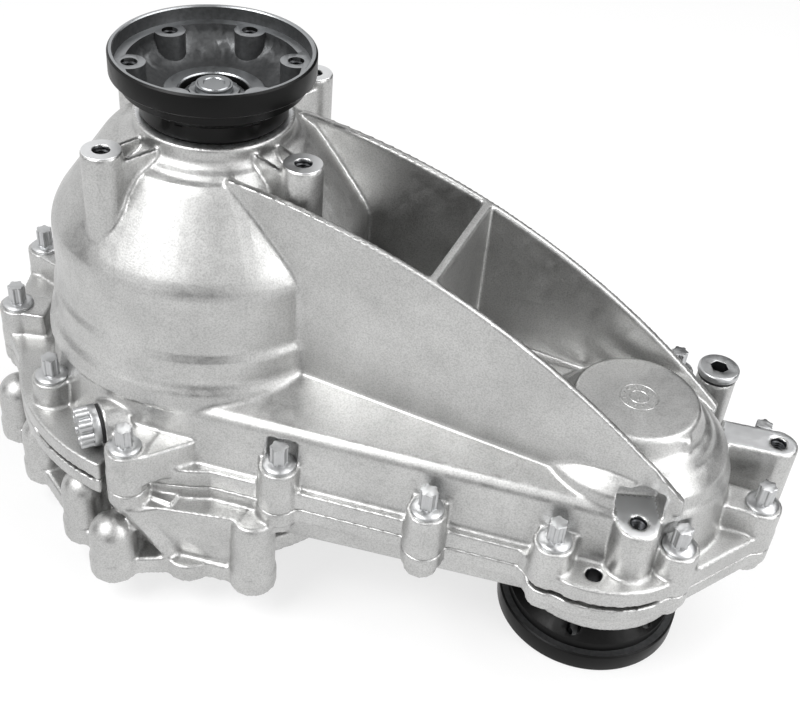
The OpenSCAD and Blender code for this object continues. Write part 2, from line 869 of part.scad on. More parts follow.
// Flange bolt with a fixed washer and a six-lobed external head
module flange_bolt() {
    shank_len = seat_h + front_lip * 0.9;
    translate([0, 0, -shank_len])
        cylinder(r = bolt_r, h = shank_len);
    cylinder(r = washer_r, h = 1.6);
    translate([0, 0, 1.6])
        cylinder(r1 = washer_r, r2 = 0.72 * washer_r, h = 1.2);
    translate([0, 0, 1.6])
        linear_extrude(height = head_h)
            union() {
                circle(r = 0.46 * washer_r);
                for (a = [0 : 60 : 300])
                    rotate(a)
                        translate([0.41 * washer_r, 0])
                            circle(r = 0.145 * washer_r, $fn = 24);
            }
}

module casing_bolts() {
    color(bolt_colour)
        for (i = [0 : len(bolt_places) - 1])
            translate([bolt_places[i][0], bolt_places[i][1], seat_z])
                rotate([0, 0, 37 * i])
                    flange_bolt();
}

module casing_dowels() {
    color(steel_colour)
        for (p = dowel_places)
            translate([p[0], p[1], parting_z - dowel_len / 2])
                difference() {
                    cylinder(r = dowel_r, h = dowel_len);
                    translate([0, 0, -over])
                        cylinder(r = dowel_r - 1.4, h = dowel_len + 2 * over);
                }
}

// Screw plug with a round collar and a hexagon socket
module fill_plug() {
    color(bolt_colour)
        translate([fill_place[0], fill_place[1], fill_seat_z + plug_seal_h])
            difference() {
                union() {
                    translate([0, 0, -plug_len - plug_seal_h])
                        cylinder(r = plug_thread_r, h = plug_len + plug_seal_h + over);
                    cylinder(r = plug_r, h = plug_collar_h - 0.8);
                    translate([0, 0, plug_collar_h - 0.8])
                        cylinder(r1 = plug_r, r2 = plug_r - 0.8, h = 0.8);
                }
                translate([0, 0, -plug_len / 2])
                    cylinder(r = plug_socket_r, h = plug_len, $fn = 6);
            }
}

module plug_ring() {
    difference() {
        cylinder(r = plug_r - 0.6, h = plug_seal_h);
        translate([0, 0, -over])
            cylinder(r = plug_thread_r + fit_gap, h = plug_seal_h + 2 * over);
    }
}

module fill_plug_seal() {
    color(rubber_colour)
        translate([fill_place[0], fill_place[1], fill_seat_z])
            plug_ring();
}

module drain_plug_seal() {
    color(rubber_colour)
        drain_axis()
            plug_ring();
}

// Screw plug with a lobed grip head
module drain_plug() {
    color(bolt_colour)
        drain_axis() {
            translate([0, 0, -plug_len])
                cylinder(r = plug_thread_r, h = plug_len + plug_seal_h + over);
            translate([0, 0, plug_seal_h]) {
                cylinder(r = plug_r, h = plug_collar_h);
                cylinder(r = plug_r - 3.4, h = plug_collar_h + drain_head_h - 1);
                for (i = [0 : drain_lobes - 1])
                    rotate([0, 0, i * 360 / drain_lobes])
                        translate([plug_r - drain_lobe_r - 0.4, 0, 0])
                            cylinder(r = drain_lobe_r, h = plug_collar_h + drain_head_h, $fn = 32);
            }
        }
}

// The six lugs that stand in the flange's cup round its threaded holes
module flange_lugs() {
    for (i = [0 : flange_hole_count - 1])
        rotate([0, 0, flange_hole_turn + i * 360 / flange_hole_count])
            translate([hole_circle_r, 0, -flange_len])
                linear_extrude(height = flange_len + over) {
                    circle(r = lobe_pad_r);
                    translate([0, -arm_share * lobe_pad_r])
                        square([lobe_pad_r, 2 * arm_share * lobe_pad_r]);
                }
}

// Output flange, drawn with its rim's edge at zero and its hub pointing down
module output_flange() {
    difference() {
        rotate_extrude($fn = 144)
            polygon([
                [0, -flange_len],
                [flange_hub_r, -flange_len],
                [flange_hub_r, -flange_neck_depth],
                [flange_neck_r - over, -flange_neck_depth],
                [flange_neck_r, -flange_neck_depth + over],
                [flange_neck_r, -cup_floor_depth],
                [cup_r + cup_wall, -cup_depth],
                [cup_r + cup_wall, -band_h],
                [flange_r - over, -band_h],
                [flange_r, -band_h + over],
                [flange_r, -over],
                [flange_r - over, 0],
                [rim_r + 0.6 * over, 0],
                [rim_r, -0.6 * over],
                [rim_r, -hole_plane_depth],
                [0, -hole_plane_depth]
            ]);
        difference() {
            rotate_extrude($fn = 144)
                polygon([
                    [0, over - cup_floor_depth],
                    [cup_floor_r, over - cup_floor_depth],
                    [flange_neck_r - over, -cup_depth - 2 * over],
                    [cup_r - 3 * over, -cup_depth + over],
                    [cup_r, -hole_plane_depth - 3 * over],
                    [cup_r, 0],
                    [0, 0]
                ]);
            flange_lugs();
        }
        translate([0, 0, -cup_floor_depth - 3 * over])
            cylinder(r = nut_r + 2 * over, h = cup_floor_depth);
        for (i = [0 : flange_hole_count - 1])
            rotate([0, 0, flange_hole_turn + i * 360 / flange_hole_count])
                translate([hole_circle_r, 0, -cup_floor_depth - over])
                    cylinder(r = flange_hole_r, h = flange_len);
        translate([0, 0, -flange_len - over])
            cylinder(r = shaft_neck_r + fit_gap, h = flange_len);
    }
}

// Shaft collar nut in the flange's cup, measured from the cup's sunk floor
module flange_nut() {
    difference() {
        union() {
            cylinder(r = nut_r, h = nut_h * 0.4);
            cylinder(r = nut_r * 0.82, h = nut_h, $fn = 12);
        }
        translate([0, 0, -over])
            cylinder(r = stud_r + fit_gap, h = nut_h + 2 * over);
    }
}

module at_rear_rim() {
    translate([0, 0, rear_top_z])
        children();
}

// The front flange is the rear one turned over on the offset axis
module at_front_rim() {
    translate([axis_gap, 0, nose_z + neck_to_bearing - flange_len])
        mirror([0, 0, 1])
            children();
}

module rear_flange() {
    color(black_colour)
        at_rear_rim()
            output_flange();
}

module front_flange() {
    color(black_colour)
        at_front_rim()
            output_flange();
}

nut_depth = cup_floor_depth + 3 * over;

module rear_flange_nut() {
    color(steel_colour)
        at_rear_rim()
            translate([0, 0, -nut_depth])
                flange_nut();
}

module front_flange_nut() {
    color(steel_colour)
        at_front_rim()
            translate([0, 0, -nut_depth])
                flange_nut();
}

// Lip seal ring round the flange's hub
module output_seal() {
    lip_r = flange_hub_r + fit_gap;
    rotate_extrude()
        polygon([
            [lip_r, -seal_h * 0.7],
            [lip_r + 2, -seal_h],
            [seal_r, -seal_h],
            [seal_r, 0],
            [lip_r + 3, 0],
            [lip_r + 3, -seal_h * 0.2],
            [seal_r - 3, -seal_h * 0.2],
            [seal_r - 3, -seal_h * 0.6],
            [lip_r, -seal_h * 0.6]
        ]);
}

module rear_output_seal() {
    color(rubber_colour)
        translate([0, 0, neck_z])
            output_seal();
}

module front_output_seal() {
    color(rubber_colour)
        translate([axis_gap, 0, nose_z])
            mirror([0, 0, 1])
                output_seal();
}

// Ball bearing pieces, drawn from z = 0 up
function ball_r(r_in, r_out) = ball_share * (r_out - r_in);
function ball_circle_r(r_in, r_out) = (r_in + r_out) / 2;

module race_groove(r_in, r_out, w) {
    translate([0, 0, w / 2])
        rotate_extrude()
            translate([ball_circle_r(r_in, r_out), 0])
                circle(r = ball_r(r_in, r_out) + ball_gap, $fn = 48);
}

module inner_race(r_in, r_out, w) {
    difference() {
        cylinder(r = r_in + race_share * (r_out - r_in) + ball_r(r_in, r_out) * 0.35, h = w);
        translate([0, 0, -over])
            cylinder(r = r_in + fit_gap, h = w + 2 * over);
        race_groove(r_in, r_out, w);
    }
}

module outer_race(r_in, r_out, w) {
    difference() {
        cylinder(r = r_out, h = w);
        translate([0, 0, -over])
            cylinder(r = r_out - race_share * (r_out - r_in) - ball_r(r_in, r_out) * 0.35, h = w + 2 * over);
        race_groove(r_in, r_out, w);
    }
}

module balls(r_in, r_out, w, count) {
    for (i = [0 : count - 1])
        rotate([0, 0, i * 360 / count])
            translate([ball_circle_r(r_in, r_out), 0, w / 2])
                sphere(r = ball_r(r_in, r_out), $fn = 48);
}

module rear_bearing_outer_race() {
    color(steel_colour)
        translate([0, 0, big_seat_z])
            outer_race(big_bore_r, big_outer_r, big_w);
}

module rear_bearing_inner_race() {
    color(steel_colour)
        translate([0, 0, big_seat_z])
            inner_race(big_bore_r, big_outer_r, big_w);
}

module rear_bearing_balls() {
    color(steel_colour)
        translate([0, 0, big_seat_z])
            balls(big_bore_r, big_outer_r, big_w, 13);
}

module nose_bearing_outer_race() {
    color(steel_colour)
        translate([axis_gap, 0, nose_bearing_z])
            outer_race(big_bore_r, big_outer_r, big_w);
}

module nose_bearing_inner_race() {
    color(steel_colour)
        translate([axis_gap, 0, nose_bearing_z])
            inner_race(big_bore_r, big_outer_r, big_w);
}

module nose_bearing_balls() {
    color(steel_colour)
        translate([axis_gap, 0, nose_bearing_z])
            balls(big_bore_r, big_outer_r, big_w, 13);
}

cap_bearing_z = cap_top_z - wall - small_w;

module cap_bearing_outer_race() {
    color(steel_colour)
        translate([axis_gap, 0, cap_bearing_z])
            outer_race(small_bore_r, small_outer_r, small_w);
}

module cap_bearing_inner_race() {
    color(steel_colour)
        translate([axis_gap, 0, cap_bearing_z])
            inner_race(small_bore_r, small_outer_r, small_w);
}

module cap_bearing_balls() {
    color(steel_colour)
        translate([axis_gap, 0, cap_bearing_z])
            balls(small_bore_r, small_outer_r, small_w, 9);
}

module drive_bearing_outer_race() {
    color(steel_colour)
        translate([0, 0, drive_seat_z])
            outer_race(drive_bore_r, drive_outer_r, drive_w);
}

module drive_bearing_inner_race() {
    color(steel_colour)
        translate([0, 0, drive_seat_z])
            inner_race(drive_bore_r, drive_outer_r, drive_w);
}

module drive_bearing_balls() {
    color(steel_colour)
        translate([0, 0, drive_seat_z])
            balls(drive_bore_r, drive_outer_r, drive_w, 15);
}

// Open retaining ring
module snap_ring() {
    difference() {
        cylinder(r = big_outer_r + 1.4, h = snap_t - 0.1);
        translate([0, 0, -over])
            cylinder(r = big_outer_r - 2.6, h = snap_t + 2 * over);
        translate([0, -3, -over])
            cube([2 * big_outer_r, 6, snap_t + 2 * over]);
    }
}

module rear_snap_ring() {
    color(steel_colour)
        translate([0, 0, big_seat_z - snap_t + 0.1])
            snap_ring();
}

module front_snap_ring() {
    color(steel_colour)
        translate([axis_gap, 0, nose_bearing_z + big_w])
            snap_ring();
}

// Involute tooth flank: half the angle that a tooth takes at radius r
function involute(a) = tan(a) * 180 / PI - a;
function flank_half(r, base_r, pitch_r, half) =
    half + involute(acos(base_r / pitch_r)) - involute(acos(min(1, base_r / r)));

// Outline of a gear, from its root circle to its tip circle. For a ring gear the same
// outline is the hole, and its teeth are the ring's tooth spaces.
function gear_points(teeth, root_r, tip_r, gap) =
    let (
        pitch_r = gear_module * teeth / 2,
        base_r = pitch_r * cos(pressure_angle),
        half = 90 / teeth - gap / pitch_r * 90 / PI,
        low_r = max(root_r, base_r),
        flank = [for (i = [0 : flank_steps])
            let (r = low_r + (tip_r - low_r) * i / flank_steps)
            [r, flank_half(r, base_r, pitch_r, half)]]
    )
    [for (k = [0 : teeth - 1])
        let (mid = k * 360 / teeth)
        each concat(
            root_r < low_r ? [polar(root_r, mid - flank[0][1])] : [],
            [for (i = [0 : flank_steps]) polar(flank[i][0], mid - flank[i][1])],
            [for (i = [flank_steps : -1 : 0]) polar(flank[i][0], mid + flank[i][1])],
            root_r < low_r ? [polar(root_r, mid + flank[0][1])] : []
        )
    ];

module gear_shape(teeth) {
    pitch_r = gear_module * teeth / 2;
    polygon(gear_points(teeth, pitch_r - dedendum, pitch_r + 0.95 * gear_module, flank_gap));
}

module sun_gear() {
    color(steel_colour)
        difference() {
            union() {
                translate([0, 0, gear_z])
                    linear_extrude(height = gear_w)
                        gear_shape(sun_teeth);
                translate([0, 0, drive_seat_z + 2])
                    cylinder(r = sun_sleeve_r, h = gear_z - drive_seat_z);
            }
            translate([0, 0, drive_seat_z])
                cylinder(r = sun_bore_r, h = gear_z + gear_w);
        }
}

// Planet gear i stands at i quarter turns round the sun, turned so that it is in mesh
module planet_gear(i) {
    place = 360 * i / planet_count;
    color(steel_colour)
        rotate([0, 0, place])
            translate([planet_orbit_r, 0, gear_z])
                rotate([0, 0, place * sun_teeth / planet_teeth + 180 / planet_teeth])
                    difference() {
                        linear_extrude(height = gear_w)
                            gear_shape(planet_teeth);
                        translate([0, 0, -over])
                            cylinder(r = planet_pin_r + 0.05, h = gear_w + 2 * over);
                    }
}

module planet_gear_1() {
    planet_gear(0);
}

module planet_gear_2() {
    planet_gear(1);
}

module planet_gear_3() {
    planet_gear(2);
}

module planet_gear_4() {
    planet_gear(3);
}

module planet_pins() {
    color(steel_colour)
        for (i = [0 : planet_count - 1])
            rotate([0, 0, i * 360 / planet_count])
                translate([planet_orbit_r, 0, carrier_low_z + over])
                    cylinder(r = planet_pin_r, h = carrier_high_z - carrier_low_z + carrier_plate_t - 2 * over);
}

module planet_washers() {
    color(brass_colour)
        for (i = [0 : planet_count - 1])
            for (z = [carrier_low_z + carrier_plate_t, carrier_high_z - washer_t])
                rotate([0, 0, i * 360 / planet_count])
                    translate([planet_orbit_r, 0, z])
                        difference() {
                            cylinder(r = planet_pitch_r - 4, h = washer_t);
                            translate([0, 0, -over])
                                cylinder(r = planet_pin_r + fit_gap, h = washer_t + 2 * over);
                        }
}

// Two plates joined by four posts; the upper one is splined to the input shaft
module planet_carrier() {
    color(steel_colour)
        difference() {
            union() {
                translate([0, 0, carrier_low_z])
                    cylinder(r = carrier_r, h = carrier_plate_t);
                translate([0, 0, carrier_high_z])
                    cylinder(r = carrier_r, h = carrier_plate_t);
                for (i = [0 : planet_count - 1])
                    rotate([0, 0, (i + 0.5) * 360 / planet_count])
                        translate([planet_orbit_r, 0, carrier_low_z])
                            cylinder(r = carrier_post_r, h = carrier_high_z - carrier_low_z + over);
            }
            translate([0, 0, carrier_low_z - over])
                cylinder(r = sun_sleeve_r + 3, h = carrier_plate_t + 2 * over);
            translate([0, 0, carrier_high_z - over])
                cylinder(r = input_r + fit_gap, h = carrier_plate_t + 2 * over);
            for (i = [0 : planet_count - 1])
                rotate([0, 0, i * 360 / planet_count])
                    translate([planet_orbit_r, 0, carrier_low_z - over])
                        cylinder(r = planet_pin_r + fit_gap, h = drum_top_z);
        }
}

// Hollow input shaft with the female spline that takes the gearbox's output shaft
module input_shaft() {
    color(steel_colour)
        difference() {
            union() {
                translate([0, 0, input_bottom_z])
                    cylinder(r = input_r, h = carrier_high_z + carrier_plate_t - input_bottom_z);
                translate([0, 0, input_bottom_z])
                    cylinder(r = input_r + 4, h = drive_seat_z - input_bottom_z - over);
            }
            translate([0, 0, input_bottom_z - over])
                cylinder(r = spline_r, h = spline_len + over);
            translate([0, 0, input_bottom_z])
                cylinder(r = nose_bore_r, h = spline_len + nose_bore_len);
            translate([0, 0, input_bottom_z - over])
                linear_extrude(height = spline_len + over)
                    for (i = [0 : spline_teeth - 1])
                        rotate(i * 360 / spline_teeth)
                            polygon([
                                [spline_r - over, -0.9],
                                [spline_r + spline_depth, -0.55],
                                [spline_r + spline_depth, 0.55],
                                [spline_r - over, 0.9]
                            ]);
        }
}

// Seal between the drive sleeve and the front casing's throat
module input_seal() {
    color(rubber_colour)
        translate([0, 0, pilot_depth + 2])
            difference() {
                cylinder(r = drive_outer_r - 4 - fit_gap, h = seal_h * 0.8);
                translate([0, 0, -over])
                    cylinder(r = input_r + 4 + fit_gap, h = seal_h);
            }
}

module needle_bearings() {
    color(steel_colour)
        for (z = [drive_seat_z + 4, gear_z - needle_w - 4])
            translate([0, 0, z])
                difference() {
                    cylinder(r = sun_bore_r - fit_gap, h = needle_w);
                    translate([0, 0, -over])
                        cylinder(r = input_r + fit_gap, h = needle_w + 2 * over);
                }
}

// Drum with the internal teeth; it drives the rear output shaft's disc
module ring_gear() {
    space_tip_r = ring_pitch_r + dedendum;
    space_root_r = ring_pitch_r - 0.9 * gear_module;
    color(steel_colour)
        difference() {
            translate([0, 0, gear_z - 1])
                cylinder(r = ring_outer_r, h = drum_top_z - gear_z + 1);
            translate([0, 0, gear_z - 1 - over])
                rotate([0, 0, 180 / ring_teeth])
                    linear_extrude(height = gear_w + 2 + over)
                        polygon(gear_points(ring_teeth, space_root_r, space_tip_r, -flank_gap));
            translate([0, 0, gear_z + gear_w + 1 - over / 2])
                cylinder(r = space_tip_r + 0.5, h = drum_top_z);
        }
}

module rear_output_shaft() {
    shaft_top = rear_top_z - nut_depth;
    color(steel_colour)
        union() {
            translate([0, 0, drum_top_z])
                cylinder(r = ring_outer_r, h = drum_disc_t);
            translate([0, 0, drum_top_z])
                cylinder(r = big_bore_r + 4, h = big_seat_z - drum_top_z);
            translate([0, 0, drum_top_z])
                cylinder(r = big_bore_r, h = big_seat_z + big_w - drum_top_z);
            translate([0, 0, drum_top_z])
                cylinder(r = shaft_neck_r, h = shaft_top - drum_top_z - run_gap);
            translate([0, 0, shaft_top - 2 * over])
                cylinder(r = stud_r, h = stud_out + 2 * over);
        }
}

// Toothed wheel for the silent chain, with a tooth between each pair of pins
module sprocket_shape() {
    circle(r = sprocket_root_r);
    for (i = [0 : sprocket_teeth - 1])
        rotate(90 + (i + 0.5) * 360 / sprocket_teeth)
            polygon([
                [sprocket_root_r - over, -tooth_root_half],
                [sprocket_tip_r, -tooth_tip_half],
                [sprocket_tip_r, tooth_tip_half],
                [sprocket_root_r - over, tooth_root_half]
            ]);
}

module sprocket_teeth_ring() {
    translate([0, 0, chain_z - sprocket_side_gap])
        linear_extrude(height = chain_w + 2 * sprocket_side_gap)
            sprocket_shape();
}

module drive_sprocket() {
    hub_top = carrier_low_z - run_gap;
    color(steel_colour)
        difference() {
            union() {
                sprocket_teeth_ring();
                translate([0, 0, drive_seat_z])
                    cylinder(r = drive_bore_r, h = hub_top - drive_seat_z);
                translate([0, 0, drive_seat_z + drive_w])
                    cylinder(r = drive_bore_r + 3, h = chain_z - drive_seat_z - drive_w);
            }
            translate([0, 0, drive_seat_z - over])
                cylinder(r = hub_bore_r, h = hub_top);
        }
}

module driven_sprocket() {
    hub_low = nose_bearing_z + big_w;
    hub_high = cap_bearing_z;
    color(steel_colour)
        translate([axis_gap, 0, 0])
            difference() {
                union() {
                    sprocket_teeth_ring();
                    translate([0, 0, hub_low])
                        cylinder(r = big_bore_r + 3, h = chain_z + chain_w + 4 - hub_low);
                    translate([0, 0, hub_low])
                        cylinder(r = small_bore_r + 5, h = hub_high - hub_low);
                }
                translate([0, 0, hub_low - over])
                    cylinder(r = small_bore_r + 2 + fit_gap, h = hub_high);
            }
}

module front_output_shaft() {
    foot_z = nose_z + neck_to_bearing - flange_len + nut_depth;
    color(steel_colour)
        translate([axis_gap, 0, 0])
            union() {
                translate([0, 0, foot_z - stud_out])
                    cylinder(r = stud_r, h = stud_out + 2 * over);
                translate([0, 0, foot_z + run_gap])
                    cylinder(r = shaft_neck_r, h = nose_bearing_z - foot_z);
                translate([0, 0, nose_bearing_z])
                    cylinder(r = big_bore_r, h = big_w);
                translate([0, 0, nose_bearing_z + over])
                    cylinder(r = small_bore_r + 2, h = cap_bearing_z - nose_bearing_z - over);
                translate([0, 0, nose_bearing_z + over])
                    cylinder(r = small_bore_r, h = cap_bearing_z + small_w - nose_bearing_z - over);
            }
}

// Chain: pin k's place and the loop's heading from pin k to pin k + 1
function pin_place(k) =
    let (
        n = k % link_count,
        half = sprocket_teeth / 2,
        step = 360 / sprocket_teeth
    )
    n < span_pitches ? [n * chain_pitch, sprocket_pitch_r]
    : n < span_pitches + half ? [axis_gap, 0] + polar(sprocket_pitch_r, 90 - (n - span_pitches) * step)
    : n < 2 * span_pitches + half ? [axis_gap - (n - span_pitches - half) * chain_pitch, -sprocket_pitch_r]
    : polar(sprocket_pitch_r, 270 - (n - 2 * span_pitches - half) * step);

// One plate pack: two pin eyes over a pair of toes that straddle a sprocket tooth
module link_shape() {
    p = chain_pitch;
    difference() {
        union() {
            circle(r = link_end_r, $fn = 32);
            translate([p, 0])
                circle(r = link_end_r, $fn = 32);
            translate([0, -0.1 * p])
                square([p, 0.1 * p + link_end_r]);
            for (side = [0, 1])
                translate([side * p, 0])
                    mirror([side, 0])
                        polygon([
                            [-0.34 * p, -0.15 * p],
                            [-0.02 * p, -0.52 * p],
                            [0.14 * p, -0.52 * p],
                            [0.325 * p, -0.1 * p],
                            [0, 0]
                        ]);
        }
        circle(r = pin_r + pin_gap, $fn = 32);
        translate([p, 0])
            circle(r = pin_r + pin_gap, $fn = 32);
    }
}

module links(parity, packs) {
    for (k = [parity : 2 : link_count - 1]) {
        a = pin_place(k);
        b = pin_place(k + 1);
        translate([a[0], a[1], 0])
            rotate([0, 0, atan2(b[1] - a[1], b[0] - a[0])])
                for (pack = packs)
                    translate([0, 0, chain_z + pack * (pack_w + pack_gap)])
                        linear_extrude(height = pack_w)
                            link_shape();
    }
}

module chain_outer_plates() {
    color(steel_colour)
        links(0, [0, 2]);
}

module chain_inner_plates() {
    color(steel_colour)
        links(1, [1]);
}

module chain_pins() {
    color(machined_colour)
        for (k = [0 : link_count - 1])
            translate([pin_place(k)[0], pin_place(k)[1], chain_z])
                cylinder(r = pin_r, h = chain_w, $fn = 32);
}

rear_casing();
front_casing();
casing_bolts();
casing_dowels();
fill_plug();
fill_plug_seal();
drain_plug();
drain_plug_seal();
rear_flange();
rear_flange_nut();
rear_output_seal();
rear_output_shaft();
ring_gear();
rear_bearing_outer_race();
rear_bearing_inner_race();
rear_bearing_balls();
rear_snap_ring();
sun_gear();
drive_sprocket();
drive_bearing_outer_race();
drive_bearing_inner_race();
drive_bearing_balls();
input_shaft();
input_seal();
needle_bearings();
planet_carrier();
planet_pins();
planet_washers();
planet_gear_1();
planet_gear_2();
planet_gear_3();
planet_gear_4();
chain_outer_plates();
chain_inner_plates();
chain_pins();
driven_sprocket();
front_output_shaft();
front_flange();
front_flange_nut();
front_output_seal();
front_snap_ring();
nose_bearing_outer_race();
nose_bearing_inner_race();
nose_bearing_balls();
cap_bearing_outer_race();
cap_bearing_inner_race();
cap_bearing_balls();
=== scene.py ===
"""Two-output transfer case: cast aluminium casings, black flanges, bolts and inner drive."""

import json
import math

import bpy
from mathutils import Matrix, Vector

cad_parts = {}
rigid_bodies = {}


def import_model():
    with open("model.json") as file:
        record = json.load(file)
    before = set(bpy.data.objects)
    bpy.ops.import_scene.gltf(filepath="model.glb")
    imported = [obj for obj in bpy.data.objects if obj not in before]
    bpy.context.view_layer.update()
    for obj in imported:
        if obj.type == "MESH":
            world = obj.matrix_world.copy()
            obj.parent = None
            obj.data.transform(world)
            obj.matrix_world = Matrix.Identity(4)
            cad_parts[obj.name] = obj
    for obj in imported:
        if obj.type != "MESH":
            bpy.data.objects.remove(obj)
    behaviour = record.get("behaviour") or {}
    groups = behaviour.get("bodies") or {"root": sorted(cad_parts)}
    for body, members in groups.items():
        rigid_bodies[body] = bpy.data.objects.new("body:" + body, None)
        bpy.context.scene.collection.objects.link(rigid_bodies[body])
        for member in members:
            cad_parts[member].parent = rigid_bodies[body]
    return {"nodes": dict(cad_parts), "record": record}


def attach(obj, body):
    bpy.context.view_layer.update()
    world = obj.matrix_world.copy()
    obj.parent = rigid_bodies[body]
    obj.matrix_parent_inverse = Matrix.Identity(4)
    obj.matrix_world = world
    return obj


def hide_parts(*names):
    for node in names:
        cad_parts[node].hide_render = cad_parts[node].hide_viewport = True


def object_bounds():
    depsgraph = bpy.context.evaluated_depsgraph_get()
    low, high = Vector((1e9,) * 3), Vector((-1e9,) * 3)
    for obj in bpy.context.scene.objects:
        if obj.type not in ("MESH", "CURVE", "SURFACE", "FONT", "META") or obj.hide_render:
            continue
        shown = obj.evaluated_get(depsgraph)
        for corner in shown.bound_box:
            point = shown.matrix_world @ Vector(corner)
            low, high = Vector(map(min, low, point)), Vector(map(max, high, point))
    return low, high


bl_info = {
    "name": "Transfer Case",
    "version": (1, 0, 0),
    "blender": (4, 5, 0),
    "location": "View3D > Sidebar > Transfer Case",
    "description": "Builds the finished surfaces of a chain-driven transfer case",
    "category": "Object",
}

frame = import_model()
CAD_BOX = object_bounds()
MM = 0.001

# Where the two axes stand and where the faces lie, in metres in the row's frame
AXIS_GAP = 0.24765
NECK_TOP = 0.234
CAP_TOP = 0.137
PAD_TOP = 0.103
REAR_RIM = 0.2684
FRONT_RIM = -0.024
HOLE_CIRCLE = 0.0419
HOLE_TURN = 32.8
DOME_BOSS_CIRCLE = 0.0696
DOME_BOSS_TURN = -22.0
BRACKET = (0.268514, -0.05248)
BRACKET_TURN = 111.7
EAR = (0.323426, 0.041408)
LIP_HOLE = (0.255138, -0.0672)
LIP_TOP = 0.072
FILL_PLUG = (0.28093, 0.0704, 0.119)

# Sizes of what shows in the flanges and the open holes
HOLE_PLANE_DEPTH = 7.7 * MM
TAP_RADIUS = 4.25 * MM
TAP_START = 0.4 * MM
TAP_SHOWN = 10 * MM
# How far a face may lie from a machined plane and still count as part of it
FACE_REACH = 0.4 * MM
# Triangles that each rounded casting keeps
CASTING_FACES = 190000


def dome_boss(i):
    """The place of one of the dome's four threaded bosses."""
    a = math.radians(DOME_BOSS_TURN + 90 * i)
    return DOME_BOSS_CIRCLE * math.cos(a), DOME_BOSS_CIRCLE * math.sin(a)


def hex_linear(text):
    """An sRGB hex colour as linear red, green, blue and alpha."""
    parts = [int(text[i : i + 2], 16) / 255 for i in (1, 3, 5)]
    line = [c / 12.92 if c <= 0.04045 else ((c + 0.055) / 1.055) ** 2.4 for c in parts]
    return (*line, 1.0)


# ---------------------------------------------------------------- settings


class TransferCaseSizes(bpy.types.PropertyGroup):
    """Sizes that a user may change."""

    cast_voxel: bpy.props.FloatProperty(
        name="Casting detail",
        description="Size of the cells that round the casting's inner and outer corners",
        default=1.1 * MM,
        min=0.8 * MM,
        max=4 * MM,
        unit="LENGTH",
        precision=5,
    )
    cast_rounds: bpy.props.IntProperty(
        name="Corner softness",
        description="Smoothing passes over the casting's corners",
        default=4,
        min=0,
        max=40,
    )
    edge_break: bpy.props.FloatProperty(
        name="Edge break",
        description="Width of the broken edge on turned and forged steel pieces",
        default=0.4 * MM,
        min=0.05 * MM,
        max=1 * MM,
        unit="LENGTH",
        precision=5,
    )
    thread_pitch: bpy.props.FloatProperty(
        name="Thread pitch",
        description="Pitch of the threads that show in the open holes",
        default=1.5 * MM,
        min=1 * MM,
        max=2 * MM,
        unit="LENGTH",
        precision=5,
    )


class TransferCaseColours(bpy.types.PropertyGroup):
    """Colours that a user may change."""

    casting: bpy.props.FloatVectorProperty(
        name="Casting",
        description="Colour of the blasted cast aluminium",
        subtype="COLOR",
        size=4,
        default=hex_linear("#C9C9C8"),
        min=0,
        max=1,
    )
    coating: bpy.props.FloatVectorProperty(
        name="Coating",
        description="Colour of the black coating on the output flanges",
        subtype="COLOR",
        size=4,
        default=hex_linear("#0A0A0A"),
        min=0,
        max=1,
    )
    floor: bpy.props.FloatVectorProperty(
        name="Floor",
        description="Colour of the floor and backdrop",
        subtype="COLOR",
        size=4,
        default=hex_linear("#FAFAFA"),
        min=0,
        max=1,
    )


def sizes():
    return bpy.context.scene.transfer_case_sizes


def colours():
    return bpy.context.scene.transfer_case_colours


# ---------------------------------------------------------------- materials


def add_node(tree, kind, settings=None, links=None):
    """Adds a node, sets its inputs or properties, and links other nodes' sockets to its inputs."""
    made = tree.nodes.new(kind)
    for name, value in (settings or {}).items():
        if name in made.inputs:
            made.inputs[name].default_value = value
        else:
            setattr(made, name, value)
    for name, socket in (links or {}).items():
        tree.links.new(socket, made.inputs[name])
    return made


def new_material(name, colour, metallic, roughness):
    """A material with one principled shader; returns the material, its tree and that shader."""
    made = bpy.data.materials.new(name)
    made.use_nodes = True
    tree = made.node_tree
    shader = tree.nodes["Principled BSDF"]
    shader.inputs["Base Color"].default_value = colour
    shader.inputs["Metallic"].default_value = metallic
    shader.inputs["Roughness"].default_value = roughness
    made.diffuse_color = colour
    return made, tree, shader


def place_coords(tree, centre=(0, 0, 0)):
    """Object coordinates moved so that centre is at nought."""
    coords = add_node(tree, "ShaderNodeTexCoord")
    return add_node(
        tree,
        "ShaderNodeMapping",
        {"Location": tuple(-c for c in centre)},
        {"Vector": coords.outputs["Object"]},
    ).outputs["Vector"]


def grain(tree, coords, size, detail=2.0):
    """Noise whose lumps are about size metres across."""
    return add_node(
        tree,
        "ShaderNodeTexNoise",
        {"Scale": 1 / size, "Detail": detail, "Roughness": 0.55},
        {"Vector": coords},
    ).outputs["Fac"]


def remap(tree, value, low, high, to_low, to_high):
    return add_node(
        tree,
        "ShaderNodeMapRange",
        {"From Min": low, "From Max": high, "To Min": to_low, "To Max": to_high},
        {"Value": value},
    ).outputs["Result"]


def uneven_roughness(tree, shader, value, low, high):
    """Spreads a noise value over a range of roughness."""
    tree.links.new(remap(tree, value, 0.3, 0.7, low, high), shader.inputs["Roughness"])


def cutter_rings(tree, coords, reach, distortion):
    """Rings round the centre, one every 2 pi times reach."""
    return add_node(
        tree,
        "ShaderNodeTexWave",
        {
            "wave_type": "RINGS",
            "rings_direction": "Z",
            "Scale": 1 / reach / 20,
            "Distortion": distortion,
        },
        {"Vector": coords},
    ).outputs["Fac"]


def shade(colour, share):
    return (colour[0] * share, colour[1] * share, colour[2] * share, 1.0)


